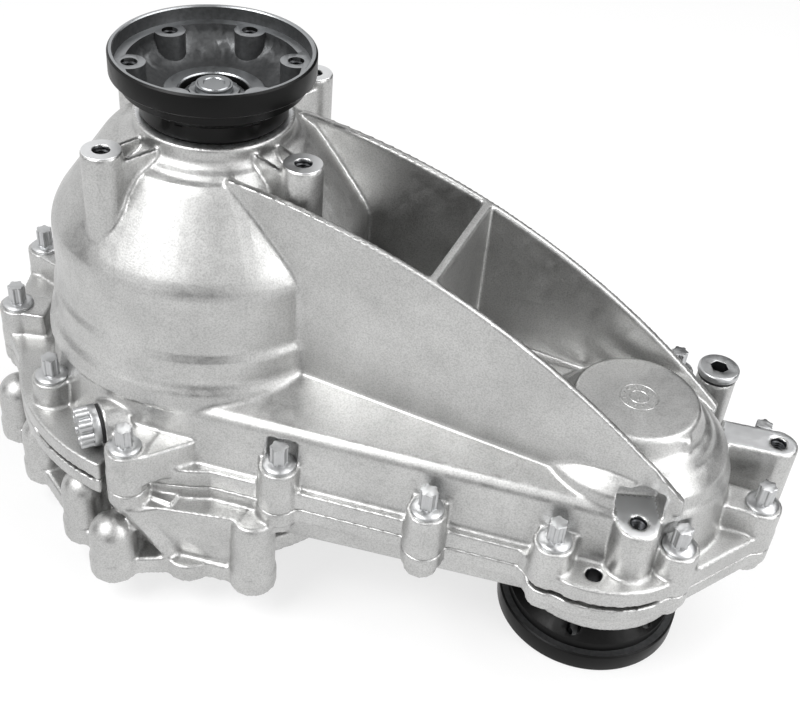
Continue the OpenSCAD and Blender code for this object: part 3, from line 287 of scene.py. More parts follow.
def mix_colours(tree, value, dark, light):
    made = tree.nodes.new("ShaderNodeMix")
    made.data_type = "RGBA"
    made.inputs[6].default_value = dark
    made.inputs[7].default_value = light
    tree.links.new(value, made.inputs[0])
    return made.outputs[2]


def bump(tree, height, distance, strength=1.0, under=None):
    links = {"Height": height}
    if under is not None:
        links["Normal"] = under
    return add_node(
        tree,
        "ShaderNodeBump",
        {"Distance": distance, "Strength": strength},
        links,
    ).outputs["Normal"]


def blasted_cast_aluminium():
    """Sand-cast aluminium, shot-blasted: matte silver, a fine pebbled skin of about 0.5 mm that
    breaks up the highlights, greyer cloudy patches where the skin of the mould was rougher, and
    dark specks where the sand left small pores."""
    colour = tuple(colours().casting)
    made, tree, shader = new_material("blasted_cast_aluminium", colour, 1.0, 0.4)
    coords = place_coords(tree)
    # Clouds of 30 mm, patches of 6 mm, and pebbles that are drawn 0.9 mm wide so that they show
    clouds = grain(tree, coords, 30 * MM, 3.0)
    patches = grain(tree, coords, 6 * MM, 4.0)
    pebbles = grain(tree, coords, 0.9 * MM, 2.0)
    cloudy = remap(tree, clouds, 0.35, 0.65, 0, 1)
    mottled = mix_colours(tree, cloudy, shade(colour, 0.86), colour)
    grey = add_node(tree, "ShaderNodeMix", {"data_type": "RGBA", "blend_type": "MULTIPLY"})
    grey.inputs[0].default_value = 1.0
    tree.links.new(mottled, grey.inputs[6])
    pitted = remap(tree, pebbles, 0.3, 0.6, 0, 1)
    tree.links.new(mix_colours(tree, pitted, (0.74, 0.74, 0.74, 1), (1, 1, 1, 1)), grey.inputs[7])
    tree.links.new(grey.outputs[2], shader.inputs["Base Color"])
    uneven_roughness(tree, shader, patches, 0.34, 0.47)
    skin = bump(tree, patches, 0.06 * MM, 0.5)
    tree.links.new(bump(tree, pebbles, 0.06 * MM, 0.75, skin), shader.inputs["Normal"])
    return made


def milled_aluminium():
    """Face-milled aluminium: brighter than the casting, with faint arcs left by the cutter, about
    1 mm apart on the real face and drawn 14 mm apart here so that they show."""
    made, tree, shader = new_material("milled_aluminium", hex_linear("#E4E5E6"), 1.0, 0.38)
    coords = place_coords(tree, (0.12, 0.9, 0))
    rings = cutter_rings(tree, coords, 2.2 * MM, 0.4)
    tree.links.new(bump(tree, rings, 0.01 * MM, 0.35), shader.inputs["Normal"])
    uneven_roughness(tree, shader, grain(tree, coords, 4 * MM), 0.33, 0.44)
    return made


def black_coated_steel():
    """Forged steel with a satin black coating: near black, with a soft sheen and a very fine
    orange peel of about 0.7 mm."""
    colour = tuple(colours().coating)
    made, tree, shader = new_material("black_coated_steel", colour, 0.0, 0.34)
    coords = place_coords(tree)
    cloud = grain(tree, coords, 9 * MM, 3.0)
    blotched = mix_colours(tree, cloud, shade(colour, 0.8), shade(colour, 1.35))
    tree.links.new(blotched, shader.inputs["Base Color"])
    uneven_roughness(tree, shader, cloud, 0.3, 0.42)
    peel = grain(tree, coords, 0.7 * MM, 1.0)
    tree.links.new(bump(tree, peel, 0.012 * MM, 0.5), shader.inputs["Normal"])
    shader.inputs["Specular IOR Level"].default_value = 0.15
    return made


def turned_steel(name, tone, centre):
    """Turned and ground steel: grey metal with faint rings from the lathe, 0.4 mm apart on the
    real piece and drawn about 6 mm apart here so that they show."""
    made, tree, shader = new_material(name, hex_linear(tone), 1.0, 0.28)
    coords = place_coords(tree, centre)
    rings = cutter_rings(tree, coords, 1.0 * MM, 0.2)
    tree.links.new(bump(tree, rings, 0.008 * MM, 0.4), shader.inputs["Normal"])
    uneven_roughness(tree, shader, grain(tree, coords, 3 * MM), 0.28, 0.4)
    return made


def zinc_plated_steel():
    """Zinc-plated bolts: cool bright grey with a slightly frosted, uneven plating."""
    made, tree, shader = new_material("zinc_plated_steel", hex_linear("#C4C6C9"), 1.0, 0.3)
    coords = place_coords(tree)
    frost = grain(tree, coords, 2.5 * MM, 2.0)
    uneven_roughness(tree, shader, frost, 0.3, 0.42)
    plating = mix_colours(tree, frost, hex_linear("#AEAFB0"), hex_linear("#C8C9CA"))
    tree.links.new(plating, shader.inputs["Base Color"])
    return made


def tapped_thread_painted_shade():
    """The flanks of a tapped thread in aluminium, with painted shade: a dark grey that stands in
    for the shade deep inside the hole.
    """
    made, tree, shader = new_material("tapped_thread_painted_shade", hex_linear("#4A4B4D"), 1.0, 0.35)
    coords = place_coords(tree)
    uneven_roughness(tree, shader, grain(tree, coords, 1 * MM), 0.28, 0.5)
    return made


def forged_steel():
    """The inside of the flange's cup: phosphated forging, dark grey and faintly scaly."""
    made, tree, shader = new_material("forged_steel", hex_linear("#505152"), 0.85, 0.42)
    coords = place_coords(tree)
    scale = grain(tree, coords, 2.5 * MM, 3.0)
    scaly = mix_colours(tree, scale, hex_linear("#3C3D3E"), hex_linear("#646566"))
    tree.links.new(scaly, shader.inputs["Base Color"])
    tree.links.new(bump(tree, scale, 0.03 * MM, 0.4), shader.inputs["Normal"])
    return made


def moulded_rubber():
    """Moulded nitrile rubber: black, matte, and slightly dusty."""
    made, tree, shader = new_material("moulded_rubber", hex_linear("#1B1B1C"), 0.0, 0.62)
    coords = place_coords(tree)
    dust = grain(tree, coords, 0.8 * MM)
    tree.links.new(bump(tree, dust, 0.02 * MM, 0.5), shader.inputs["Normal"])
    return made


def plain_bronze():
    """Bearing bronze: warm brown-yellow metal with a dull, oiled face."""
    made, tree, shader = new_material("plain_bronze", hex_linear("#B58A50"), 1.0, 0.38)
    coords = place_coords(tree)
    uneven_roughness(tree, shader, grain(tree, coords, 2 * MM), 0.3, 0.46)
    return made


MADE = {}
STEEL_TONE = "#9FA1A3"


def material(name):
    """The finish with this name, made once."""
    if name not in MADE:
        MADE[name] = {
            "casting": blasted_cast_aluminium,
            "milled": milled_aluminium,
            "coating": black_coated_steel,
            "main_steel": lambda: turned_steel("turned_steel_main_axis", STEEL_TONE, (0, 0, 0)),
            "offset_steel": lambda: turned_steel(
                "turned_steel_offset_axis", STEEL_TONE, (AXIS_GAP, 0, 0)
            ),
            "plated": zinc_plated_steel,
            "thread": tapped_thread_painted_shade,
            "forged": forged_steel,
            "rubber": moulded_rubber,
            "bronze": plain_bronze,
        }[name]()
    return MADE[name]


# ---------------------------------------------------------------- shape helpers


def pick_none():
    for o in bpy.context.view_layer.objects:
        o.select_set(False)


def pick(*objects):
    """Selects only these objects; the first is the active one."""
    pick_none()
    for o in objects:
        o.select_set(True)
    bpy.context.view_layer.objects.active = objects[0]


def apply_modifiers(obj):
    pick(obj)
    for m in list(obj.modifiers):
        bpy.ops.object.modifier_apply(modifier=m.name)


def cad_copy(node, name):
    """A copy of a CAD node's mesh, with its loose triangles merged."""
    source = frame["nodes"][node]
    obj = bpy.data.objects.new(name, source.data.copy())
    bpy.context.scene.collection.objects.link(obj)
    obj.data.materials.clear()
    pick(obj)
    bpy.ops.object.mode_set(mode="EDIT")
    bpy.ops.mesh.select_all(action="SELECT")
    bpy.ops.mesh.remove_doubles(threshold=0.002 * MM)
    bpy.ops.object.mode_set(mode="OBJECT")
    return obj


def dress(obj, body, slot_name, finish, *nodes):
    """Gives a piece its material and body, and hides the CAD nodes that it stands for; the slot
    name is not used.
    """
    obj.data.materials.clear()
    obj.data.materials.append(material(finish))
    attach(obj, body)
    if nodes:
        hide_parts(*nodes)
    return obj


def apply_place(obj):
    pick(obj)
    bpy.ops.object.transform_apply(location=True, rotation=True, scale=True)


def block(corners, name):
    """A solid with eight corners in millimetres: four round its foot, then those above them."""
    pick_none()
    bpy.ops.mesh.primitive_cube_add(size=2, location=(0, 0, 0))
    obj = bpy.context.active_object
    obj.name = name
    round_foot = {(-1, -1): 0, (1, -1): 1, (1, 1): 2, (-1, 1): 3}
    for v in obj.data.vertices:
        x, y, z = (round(c) for c in v.co)
        v.co = Vector(corners[round_foot[(x, y)] + (4 if z > 0 else 0)]) * MM
    pick(obj)
    bpy.ops.object.mode_set(mode="EDIT")
    bpy.ops.mesh.select_all(action="SELECT")
    bpy.ops.mesh.remove_doubles(threshold=0.01 * MM)
    bpy.ops.mesh.normals_make_consistent(inside=False)
    bpy.ops.object.mode_set(mode="OBJECT")
    return obj


def cast_copy(node, name, faces, webs=(), cuts=()):
    """A casting: its machined pockets are cut, its blends and webs are cast on, and sharp CAD
    corners become the rounded corners of a sand mould."""
    obj = cad_copy(node, name)
    for cut in cuts:
        less = obj.modifiers.new("Pocket", "BOOLEAN")
        less.operation = "DIFFERENCE"
        less.solver = "EXACT"
        less.object = cut
    apply_modifiers(obj)
    for cut in cuts:
        bpy.data.objects.remove(cut, do_unlink=True)
    if webs:
        joined([obj, *webs], name)
    skin = obj.modifiers.new("Skin", "REMESH")
    skin.mode = "VOXEL"
    skin.voxel_size = sizes().cast_voxel
    soft = obj.modifiers.new("Soft", "SMOOTH")
    soft.factor = 0.5
    soft.iterations = sizes().cast_rounds
    apply_modifiers(obj)
    thin = obj.modifiers.new("Thin", "DECIMATE")
    thin.ratio = min(1.0, faces / max(1, 2 * len(obj.data.polygons)))
    apply_modifiers(obj)
    bpy.ops.object.shade_smooth_by_angle(angle=math.radians(50))
    return obj


def steel_copy(node, name, edge_share):
    """A turned or forged piece: every hard edge gets a broken edge, a share of the setting wide."""
    obj = cad_copy(node, name)
    flat = obj.modifiers.new("Flat", "DECIMATE")
    flat.decimate_type = "DISSOLVE"
    flat.angle_limit = math.radians(0.5)
    edge = obj.modifiers.new("Edge", "BEVEL")
    edge.width = edge_share * sizes().edge_break
    edge.segments = 2
    edge.limit_method = "ANGLE"
    edge.angle_limit = math.radians(32)
    edge.use_clamp_overlap = True
    apply_modifiers(obj)
    bpy.ops.object.shade_smooth_by_angle(angle=math.radians(30))
    return obj


def face_finish(obj, finish, chosen):
    """Gives a second material to the faces that chosen(face centre, normal) accepts."""
    obj.data.materials.append(material(finish))
    last = len(obj.data.materials) - 1
    for f in obj.data.polygons:
        if chosen(f.center, f.normal):
            f.material_index = last


def joined(objects, name):
    pick(*objects)
    bpy.ops.object.join()
    objects[0].name = name
    objects[0].data.name = name
    return objects[0]


def ring_disc(x, y, z, inner, outer, thick, name):
    """A thin flat ring with broken edges, its upper face at z."""
    pick_none()
    bpy.ops.mesh.primitive_circle_add(
        vertices=64, radius=outer, fill_type="NGON", location=(x, y, z)
    )
    obj = bpy.context.active_object
    obj.name = name
    bpy.ops.object.mode_set(mode="EDIT")
    bpy.ops.mesh.select_all(action="SELECT")
    bpy.ops.mesh.inset(thickness=outer - inner, use_even_offset=False)
    bpy.ops.mesh.delete(type="FACE")
    bpy.ops.mesh.select_all(action="SELECT")
    bpy.ops.object.mode_set(mode="OBJECT")
    apply_place(obj)
    wall = obj.modifiers.new("Wall", "SOLIDIFY")
    wall.thickness = thick
    wall.offset = -1 if obj.data.polygons[0].normal.z > 0 else 1
    edge = obj.modifiers.new("Edge", "BEVEL")
    edge.width = thick * 0.4
    edge.segments = 1
    edge.limit_method = "ANGLE"
    apply_modifiers(obj)
    return obj


def thread_coil(x, y, top, depth, radius, name, up=1):
    """The thread that shows in an open hole: one sharp ridge wound down the wall."""
    pitch = sizes().thread_pitch
    turns = int(depth / pitch)
    high = 0.42 * pitch
    pick_none()
    bpy.ops.mesh.primitive_circle_add(
        vertices=3, radius=high, fill_type="NOTHING", location=(0, 0, 0)
    )
    obj = bpy.context.active_object
    obj.name = name
    crest, root = radius - 0.62 * pitch, radius + 0.1 * MM
    for v, (r, z) in zip(obj.data.vertices, ((crest, 0), (root, high), (root, -high))):
        v.co = (r, 0, z)
    screw = obj.modifiers.new("Thread", "SCREW")
    screw.axis = "Z"
    screw.angle = 2 * math.pi
    screw.screw_offset = pitch
    screw.iterations = turns
    screw.steps = 32
    screw.render_steps = 32
    screw.use_merge_vertices = False
    apply_modifiers(obj)
    pick(obj)
    bpy.ops.object.mode_set(mode="EDIT")
    bpy.ops.mesh.select_all(action="SELECT")
    bpy.ops.mesh.remove_doubles(threshold=0.01 * MM)
    bpy.ops.mesh.select_all(action="DESELECT")
    bpy.ops.mesh.select_non_manifold()
    bpy.ops.mesh.edge_face_add()
    bpy.ops.mesh.select_all(action="SELECT")
    bpy.ops.mesh.normals_make_consistent(inside=False)
    bpy.ops.object.mode_set(mode="OBJECT")
    low = top - (turns + 0.9) * pitch if up > 0 else top + 0.5 * pitch
    obj.location = (x, y, low)
    apply_place(obj)
    bpy.ops.object.shade_smooth_by_angle(angle=math.radians(30))
    return obj


# ---------------------------------------------------------------- operators


class TRANSFERCASE_OT_castings(bpy.types.Operator):
    """Round off the two cast housings and give them their blasted skin"""

    bl_idname = "transfer_case.castings"
    bl_label = "Castings"

    def execute(self, context):
        rear_webs = [
            # A flat-topped web runs from the fourth bolt's boss back into the cover
            block(
                [
                    (-4, -98, 66), (15, -117, 66), (36, -90, 66), (30, -80, 66),
                    (-4, -98, 86.6), (15, -117, 86.6), (36, -90, 86.6), (30, -80, 86.6),
                ],
                "bolt_web",
            ),
            # The wall behind the spot-faced seat beside the drain plug is drawn thicker
            block(
                [
                    (72, -77, 84), (96, -73.5, 84), (96, -68, 84), (72, -71, 84),
                    (72, -77, 103), (96, -73.5, 103), (96, -68, 103), (72, -71, 103),
                ],
                "seat_wall",
            ),
        ]
        # The front bracket's pad is milled flat right back to its upright
        turn = math.radians(BRACKET_TURN)
        along = Vector((math.cos(turn), math.sin(turn)))
        side = Vector((-math.sin(turn), math.cos(turn)))
        place = Vector(BRACKET) / MM

        def arm_corners(start, end, half):
            """Four corners round a stretch of the bracket's arm, in millimetres."""
            spots = ((start, -half), (end, -half), (end, half), (start, half))
            return [place + along * a + side * b for a, b in spots]

        low = PAD_TOP / MM
        corners = arm_corners(-1, 20, 12.2)
        pad = block([(c.x, c.y, z) for z in (low, low + 14) for c in corners], "pad_pocket")
        # The upright behind the pad rises to a point on its left
        back = arm_corners(20, 27, 11.6)
        foot = [(c.x, c.y, 100) for c in back]
        head = [(c.x, c.y, z) for c, z in zip(back, (107, 107, 115, 116.5))]
        rear_webs.append(block(foot + head, "bracket_upright"))
        rear = cast_copy("rear_casing", "rear_casting", CASTING_FACES, rear_webs, [pad])
        dress(rear, "root", "cast_aluminium", "casting", "rear_casing")
        face_finish(
            rear,
            "milled",
            lambda c, n: n.z > 0.97
            and (
                abs(c.z - NECK_TOP) < FACE_REACH
                or (abs(c.z - PAD_TOP) < FACE_REACH and c.x > 0.25)
            ),
        )
        # The walls of the tapped holes get painted shade, a dark colour for the shade inside the
        # holes
        holes = [(*dome_boss(i), NECK_TOP) for i in range(4)]
        holes += [(*BRACKET, PAD_TOP), (*EAR, PAD_TOP), (*LIP_HOLE, LIP_TOP)]

        def shaded_bore_walls(c, n):
            return any(
                math.hypot(c.x - x, c.y - y) < 5 * MM and 0.7 * MM < top - c.z < 24 * MM
                for x, y, top in holes
            )

        face_finish(rear, "thread", shaded_bore_walls)
        front_webs = [
            # The bell's wall stands out between the gearbox lobes, under the joint flange
            block(
                [
                    (29, -105, 9), (63, -99, 9), (64, -70, 9), (18, -80, 9),
                    (8, -118, 52), (68, -101, 52), (68, -70, 52), (0, -80, 52),
                ],
                "bell_wall",
            ),
            block(
                [
                    (-9, -105, 9), (31, -104, 9), (31, -80, 9), (-9, -80, 9),
                    (-9, -108, 54), (31, -108, 54), (31, -80, 54), (-9, -80, 54),
                ],
                "bell_fill",
            ),
            # A slanting web runs down from the fourth bolt's boss to the gearbox flange
            block(
                [
                    (26, -110.5, 11), (31, -111, 11), (36, -101, 11), (20, -101, 11),
                    (2, -120.5, 50.5), (11, -122, 50.5), (34, -108, 50.5), (-4, -108, 50.5),
                ],
                "bell_web",
            ),
        ]
        front = cast_copy("front_casing", "front_casting", CASTING_FACES, front_webs)
        dress(front, "root", "cast_aluminium", "casting", "front_casing")
        face_finish(front, "milled", lambda c, n: n.z < -0.97 and abs(c.z) < FACE_REACH)
        return {"FINISHED"}


class TRANSFERCASE_OT_output_flanges(bpy.types.Operator):
    """Break the edges of both black output flanges and bare their machined faces"""

    bl_idname = "transfer_case.output_flanges"
    bl_label = "Output Flanges"

    def execute(self, context):
        for node, body, x, rim, up in (
            ("rear_flange", "rear_output", 0.0, REAR_RIM, 1),
            ("front_flange", "front_output", AXIS_GAP, FRONT_RIM, -1),
        ):
            obj = steel_copy(node, node.replace("flange", "output_flange"), 1)
            dress(obj, body, "black_flange", "coating", node)
            steel = "main_steel" if up > 0 else "offset_steel"

            def measure(c, n):
                """Depth below the rim, distance from the axis, and how far the face looks out."""
                away = math.hypot(c.x - x, c.y)
                outward = ((c.x - x) * n.x + c.y * n.y) / max(away, 1e-6)
                return (rim - c.z) * up, away, outward

            def bare(c, n):
                """The rim's turned edge and the plane round the threaded holes."""
                depth, away, _ = measure(c, n)
                flat = n.z * up > 0.9
                plane = abs(depth - HOLE_PLANE_DEPTH) < 0.3 * MM and away < 49.7 * MM
                edge = depth < 0.9 * MM and away < 50.5 * MM
                return edge or (flat and (plane or depth < 0.5 * MM))

            def inside(c, n):
                """The rim's inner wall and the cup, but not the neck's outside."""
                depth, away, outward = measure(c, n)
                rim_wall = 1 * MM < depth < 7.6 * MM and away < 50.4 * MM and outward < -0.5
                cup = 8.2 * MM < depth < 25 * MM and away < 44.7 * MM
                return rim_wall or (cup and (outward < 0.3 or depth < 15 * MM))

            face_finish(obj, "forged", inside)
            face_finish(obj, steel, bare)
            coils = []
            for i in range(6):
                a = math.radians(up * HOLE_TURN + 60 * i)
                coils.append(
                    thread_coil(
                        x + HOLE_CIRCLE * math.cos(a),
                        HOLE_CIRCLE * math.sin(a),
                        rim - up * 7.9 * MM,
                        9 * MM,
                        TAP_RADIUS,
                        "flange_thread_%d" % i,
                        up,
                    )
                )
            threads = joined(coils, node.replace("flange", "flange_threads"))
            # The threads in the flange's holes get painted shade, a dark colour for the shade
            # inside the holes
            dress(threads, body, "machined_steel", "thread")
            # The turned rings that show at the bottom of the cup, round the nut and on the stud
            rings = [
                ring_disc(x, 0, rim - up * 23.2 * MM, 18.6 * MM, 26.5 * MM, 1.6 * MM, "cup_ring"),
                ring_disc(x, 0, rim - up * 19.4 * MM, 5.2 * MM, 8.6 * MM, 1.2 * MM, "stud_ring"),
            ]
            turned = joined(rings, node.replace("flange", "cup_rings"))
            dress(turned, body, "machined_steel", steel)
        return {"FINISHED"}


class TRANSFERCASE_OT_fasteners(bpy.types.Operator):
    """Break the edges of the casing bolts, plugs, seals and nuts"""

    bl_idname = "transfer_case.fasteners"
    bl_label = "Fasteners"

    def execute(self, context):
        for node, body, slot_name, finish, edge_share in (
            ("casing_bolts", "root", "bolt_steel", "plated", 0.625),
            ("fill_plug", "root", "bolt_steel", "plated", 1),
            ("drain_plug", "root", "bolt_steel", "plated", 0.75),
            ("fill_plug_seal", "root", "rubber", "rubber", 0.75),
            ("drain_plug_seal", "root", "rubber", "rubber", 0.75),
            ("rear_flange_nut", "rear_output", "machined_steel", "main_steel", 0.75),
            ("front_flange_nut", "front_output", "machined_steel", "offset_steel", 0.75),
        ):
            obj = steel_copy(node, node + "_finished", edge_share)
            dress(obj, body, slot_name, finish, node)
            if node == "fill_plug":
                x, y, top = FILL_PLUG

                def socket(c, n):
                    """The hexagon socket, whose inside gets painted shade: a dark colour for the
                    shade in the recess.
                    """
                    return math.hypot(c.x - x, c.y - y) < 5.3 * MM and 0.1 < c.z < top - 0.6 * MM

                face_finish(obj, "thread", socket)
        return {"FINISHED"}


class TRANSFERCASE_OT_open_threads(bpy.types.Operator):
    """Wind the threads that show in the casing's open holes and face the boss tops"""

    bl_idname = "transfer_case.open_threads"
    bl_label = "Open Threads"

    def execute(self, context):
        coils, faces = [], []
        for i in range(4):
            x, y = dome_boss(i)
            name = "boss_thread_%d" % i
            coils.append(thread_coil(x, y, NECK_TOP - TAP_START, TAP_SHOWN, TAP_RADIUS, name))
            name = "boss_face_%d" % i
            faces.append(ring_disc(x, y, NECK_TOP + 0.12 * MM, 4.5 * MM, 9.9 * MM, 0.5 * MM, name))
        for i, (x, y) in enumerate((BRACKET, EAR)):
            name = "pad_thread_%d" % i
            coils.append(thread_coil(x, y, PAD_TOP - TAP_START, TAP_SHOWN, TAP_RADIUS, name))
        # The threads in the casing's open holes get painted shade, a dark colour for the shade
        # inside the holes
        dress(joined(coils, "casing_threads"), "root", "cast_aluminium", "thread")
        dress(joined(faces, "boss_faces"), "root", "cast_aluminium", "milled")
        return {"FINISHED"}


class TRANSFERCASE_OT_date_dial(bpy.types.Operator):
    """Mould a plain numbered dial in the bearing cap"""

    bl_idname = "transfer_case.date_dial"
    bl_label = "Casting Dial"

    def execute(self, context):
        x, y = AXIS_GAP + 0.5 * MM, 0.5 * MM
        parts = [
            ring_disc(x, y, CAP_TOP + 0.25 * MM, 9.6 * MM, 10.4 * MM, 0.5 * MM, "dial_outer"),
            ring_disc(x, y, CAP_TOP + 0.25 * MM, 4.6 * MM, 5.2 * MM, 0.5 * MM, "dial_inner"),
        ]
        for i in range(12):
            a = math.radians(90 - 30 * (i + 1))
            pick_none()
            bpy.ops.object.text_add(location=(0, 0, 0))
            mark = context.active_object
            mark.data.body = str(i + 1)
            mark.data.size = 2.8 * MM
            mark.data.align_x = "CENTER"
            mark.data.align_y = "CENTER"
            mark.data.extrude = 0.25 * MM
            pick(mark)
            bpy.ops.object.convert(target="MESH")
            mark = context.active_object
            mark.location = (x + 7.4 * MM * math.cos(a), y + 7.4 * MM * math.sin(a), CAP_TOP)
            mark.rotation_euler = (0, 0, a - math.pi / 2)
            apply_place(mark)
            parts.append(mark)
        pick_none()
        bpy.ops.mesh.primitive_cube_add(
            size=1, location=(x, y, CAP_TOP), scale=(1.2 * MM, 6 * MM, 0.5 * MM)
        )
        hand = context.active_object
        bpy.ops.object.mode_set(mode="EDIT")
        bpy.ops.mesh.select_all(action="SELECT")
        bpy.ops.mesh.bevel(offset=0.12 * MM, segments=1)
        bpy.ops.object.mode_set(mode="OBJECT")
        apply_place(hand)
        parts.append(hand)
        dress(joined(parts, "cap_dial"), "root", "cast_aluminium", "casting")
        return {"FINISHED"}


class TRANSFERCASE_OT_inner_drive(bpy.types.Operator):
    """Give every inner gear, shaft, bearing and chain piece its finish"""

    bl_idname = "transfer_case.inner_drive"
    bl_label = "Inner Drive"

    def execute(self, context):
        slots = {s["node"]: s["material_slot"] for s in frame["record"]["subparts"]}
        offset = ("front_", "nose_", "cap_", "driven_")
        for name, obj in frame["nodes"].items():
            if obj.hide_render:
                continue
            finish = {
                "cast_aluminium": "casting",
                "black_flange": "coating",
                "bolt_steel": "plated",
                "rubber": "rubber",
                "bronze": "bronze",
            }.get(slots[name], "offset_steel" if name.startswith(offset) else "main_steel")
            obj.data.materials.clear()
            obj.data.materials.append(material(finish))
        return {"FINISHED"}


def emitter(name, location, target, size, power, size_y=None):
    """A soft box lamp at location that shines at target."""
    lamp = bpy.data.lights.new(name, "AREA")
    lamp.shape = "RECTANGLE"
    lamp.size = size
    lamp.size_y = size_y or size
    lamp.energy = power
    obj = bpy.data.objects.new(name, lamp)
    bpy.context.scene.collection.objects.link(obj)
    obj.location = location
    obj.rotation_euler = (Vector(target) - Vector(location)).to_track_quat("-Z", "Y").to_euler()
    return obj


def seen_rays(tree):
    """One where a surface is seen by the camera, in a reflection or through glass, and nought
    where it only lights other things."""
    path = add_node(tree, "ShaderNodeLightPath")
    first = add_node(tree, "ShaderNodeMath", {"operation": "MAXIMUM"})
    tree.links.new(path.outputs["Is Camera Ray"], first.inputs[0])
    tree.links.new(path.outputs["Is Glossy Ray"], first.inputs[1])
    both = add_node(tree, "ShaderNodeMath", {"operation": "MAXIMUM"})
    tree.links.new(first.outputs[0], both.inputs[0])
    tree.links.new(path.outputs["Is Transmission Ray"], both.inputs[1])
    return both.outputs[0]


def dark_card(name, location, target, width, height):
    """A matt black board outside the view, for the metal to reflect so that its form shows."""
    pick_none()
    bpy.ops.mesh.primitive_plane_add(size=1, location=(0, 0, 0))
    card = bpy.context.active_object
    card.name = name
    card.scale = (width, height, 1)
    card.rotation_euler = (Vector(target) - Vector(location)).to_track_quat("-Z", "Y").to_euler()
    card.location = location
    apply_place(card)
    card.data.materials.append(new_material(name + "_felt", hex_linear("#141414"), 0.0, 0.9)[0])
    card.visible_camera = False
    card.visible_shadow = False
    card.visible_diffuse = False
    return card


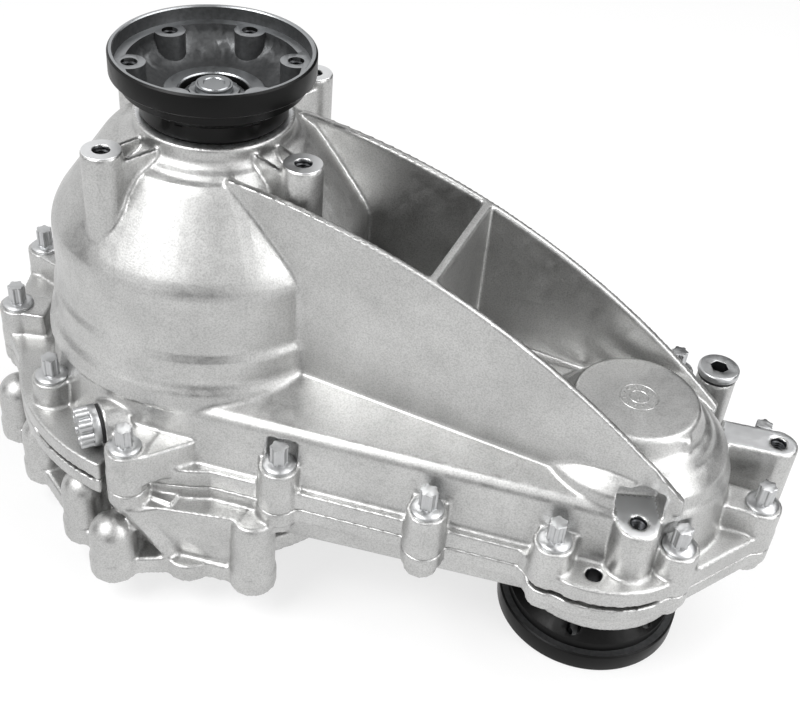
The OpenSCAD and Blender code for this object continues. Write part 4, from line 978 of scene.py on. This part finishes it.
class TRANSFERCASE_OT_stage(bpy.types.Operator):
    """Set the camera, the soft studio lamps and the pale floor"""

    bl_idname = "transfer_case.stage"
    bl_label = "Stage"

    def execute(self, context):
        scene = context.scene
        cam = bpy.data.objects.new("Camera", bpy.data.cameras.new("Camera"))
        scene.collection.objects.link(cam)
        scene.camera = cam
        # The place, turn and lens that put the part where the photograph has it
        cam.data.sensor_width = 36
        cam.data.lens = 54.68
        cam.data.clip_start = 0.01
        cam.data.clip_end = 100
        right = Vector((0.91726987, 0.39063396, 0.07759575))
        up = Vector((-0.30284108, 0.55758803, 0.77290547))
        back = Vector((0.25865667, -0.73246208, 0.62975871))
        cam.matrix_world = Matrix.Translation((0.290377, -0.496052, 0.541455)) @ Matrix(
            (
                (right.x, up.x, back.x, 0),
                (right.y, up.y, back.y, 0),
                (right.z, up.z, back.z, 0),
                (0, 0, 0, 1),
            )
        )
        floor_z = CAD_BOX[0].z
        pick_none()
        bpy.ops.mesh.primitive_plane_add(size=1, location=(0.1, 0, floor_z))
        floor = context.active_object
        floor.name = "floor"
        floor.scale = (8, 8, 1)
        apply_place(floor)
        pale, tree, shader = new_material("pale_floor", tuple(colours().floor), 0.0, 0.7)
        # A share of the floor's white is its own, so that it stays pale and keeps the shadow
        glow = add_node(tree, "ShaderNodeEmission", {"Color": (1, 1, 1, 1), "Strength": 1.0})
        share = add_node(tree, "ShaderNodeMath", {"operation": "MULTIPLY"})
        tree.links.new(seen_rays(tree), share.inputs[0])
        share.inputs[1].default_value = 0.72
        both = add_node(tree, "ShaderNodeMixShader")
        tree.links.new(share.outputs[0], both.inputs[0])
        tree.links.new(shader.outputs[0], both.inputs[1])
        tree.links.new(glow.outputs[0], both.inputs[2])
        tree.links.new(both.outputs[0], tree.nodes["Material Output"].inputs["Surface"])
        floor.data.materials.append(pale)
        # World: white where it is seen, and a softer grey room that lights the object
        world = bpy.data.worlds.new("Studio")
        scene.world = world
        world.use_nodes = True
        wt = world.node_tree
        room = wt.nodes["Background"]
        room.inputs["Color"].default_value = hex_linear("#CBCBCB")
        room.inputs["Strength"].default_value = 0.55
        white = add_node(wt, "ShaderNodeBackground", {"Color": (1, 1, 1, 1), "Strength": 1.0})
        both = add_node(wt, "ShaderNodeMixShader")
        wt.links.new(seen_rays(wt), both.inputs[0])
        wt.links.new(room.outputs[0], both.inputs[1])
        wt.links.new(white.outputs[0], both.inputs[2])
        wt.links.new(both.outputs[0], wt.nodes["World Output"].inputs["Surface"])
        centre = (0.1, 0, 0.1)
        emitter("key", (-0.5, -0.9, 1.5), centre, 0.9, 25)
        emitter("top", (0.75, 0.35, 1.55), centre, 1.2, 18)
        emitter("side", (1.4, -0.2, 0.7), centre, 0.5, 8, 1.1)
        dark_card("front_card", (0.5, -1.3, 0.25), centre, 0.9, 0.7)
        dark_card("left_card", (-1.2, -0.5, 0.2), centre, 0.5, 0.8)
        dark_card("back_card", (0.5, 1.3, 0.5), centre, 2.0, 1.0)
        dark_card("roof_card", (0.3, 0.1, 1.75), centre, 2.6, 2.2)
        dark_card("right_card", (1.6, 0.1, 0.5), centre, 1.6, 0.9)
        return {"FINISHED"}


class TRANSFERCASE_PT_panel(bpy.types.Panel):
    """Lists the steps and the settings"""

    bl_idname = "TRANSFERCASE_PT_panel"
    bl_label = "Transfer Case"
    bl_space_type = "VIEW_3D"
    bl_region_type = "UI"
    bl_category = "Transfer Case"

    def draw(self, context):
        layout = self.layout
        for group in (sizes(), colours()):
            for prop in group.bl_rna.properties:
                if prop.identifier not in ("rna_type", "name"):
                    layout.prop(group, prop.identifier)
        for step in STEPS:
            layout.operator(step.bl_idname)


STEPS = (
    TRANSFERCASE_OT_stage,
    TRANSFERCASE_OT_castings,
    TRANSFERCASE_OT_output_flanges,
    TRANSFERCASE_OT_fasteners,
    TRANSFERCASE_OT_open_threads,
    TRANSFERCASE_OT_date_dial,
    TRANSFERCASE_OT_inner_drive,
)
GROUPS = (TransferCaseSizes, TransferCaseColours)


def register():
    for c in (*GROUPS, *STEPS, TRANSFERCASE_PT_panel):
        bpy.utils.register_class(c)
    bpy.types.Scene.transfer_case_sizes = bpy.props.PointerProperty(type=TransferCaseSizes)
    bpy.types.Scene.transfer_case_colours = bpy.props.PointerProperty(type=TransferCaseColours)


def unregister():
    del bpy.types.Scene.transfer_case_sizes
    del bpy.types.Scene.transfer_case_colours
    for c in (TRANSFERCASE_PT_panel, *reversed(STEPS), *reversed(GROUPS)):
        bpy.utils.unregister_class(c)


def main():
    register()
    bpy.context.scene.view_settings.view_transform = "Standard"
    for step in STEPS:
        group, call = step.bl_idname.split(".")
        getattr(getattr(bpy.ops, group), call)()


if __name__ == "__main__":
    main()
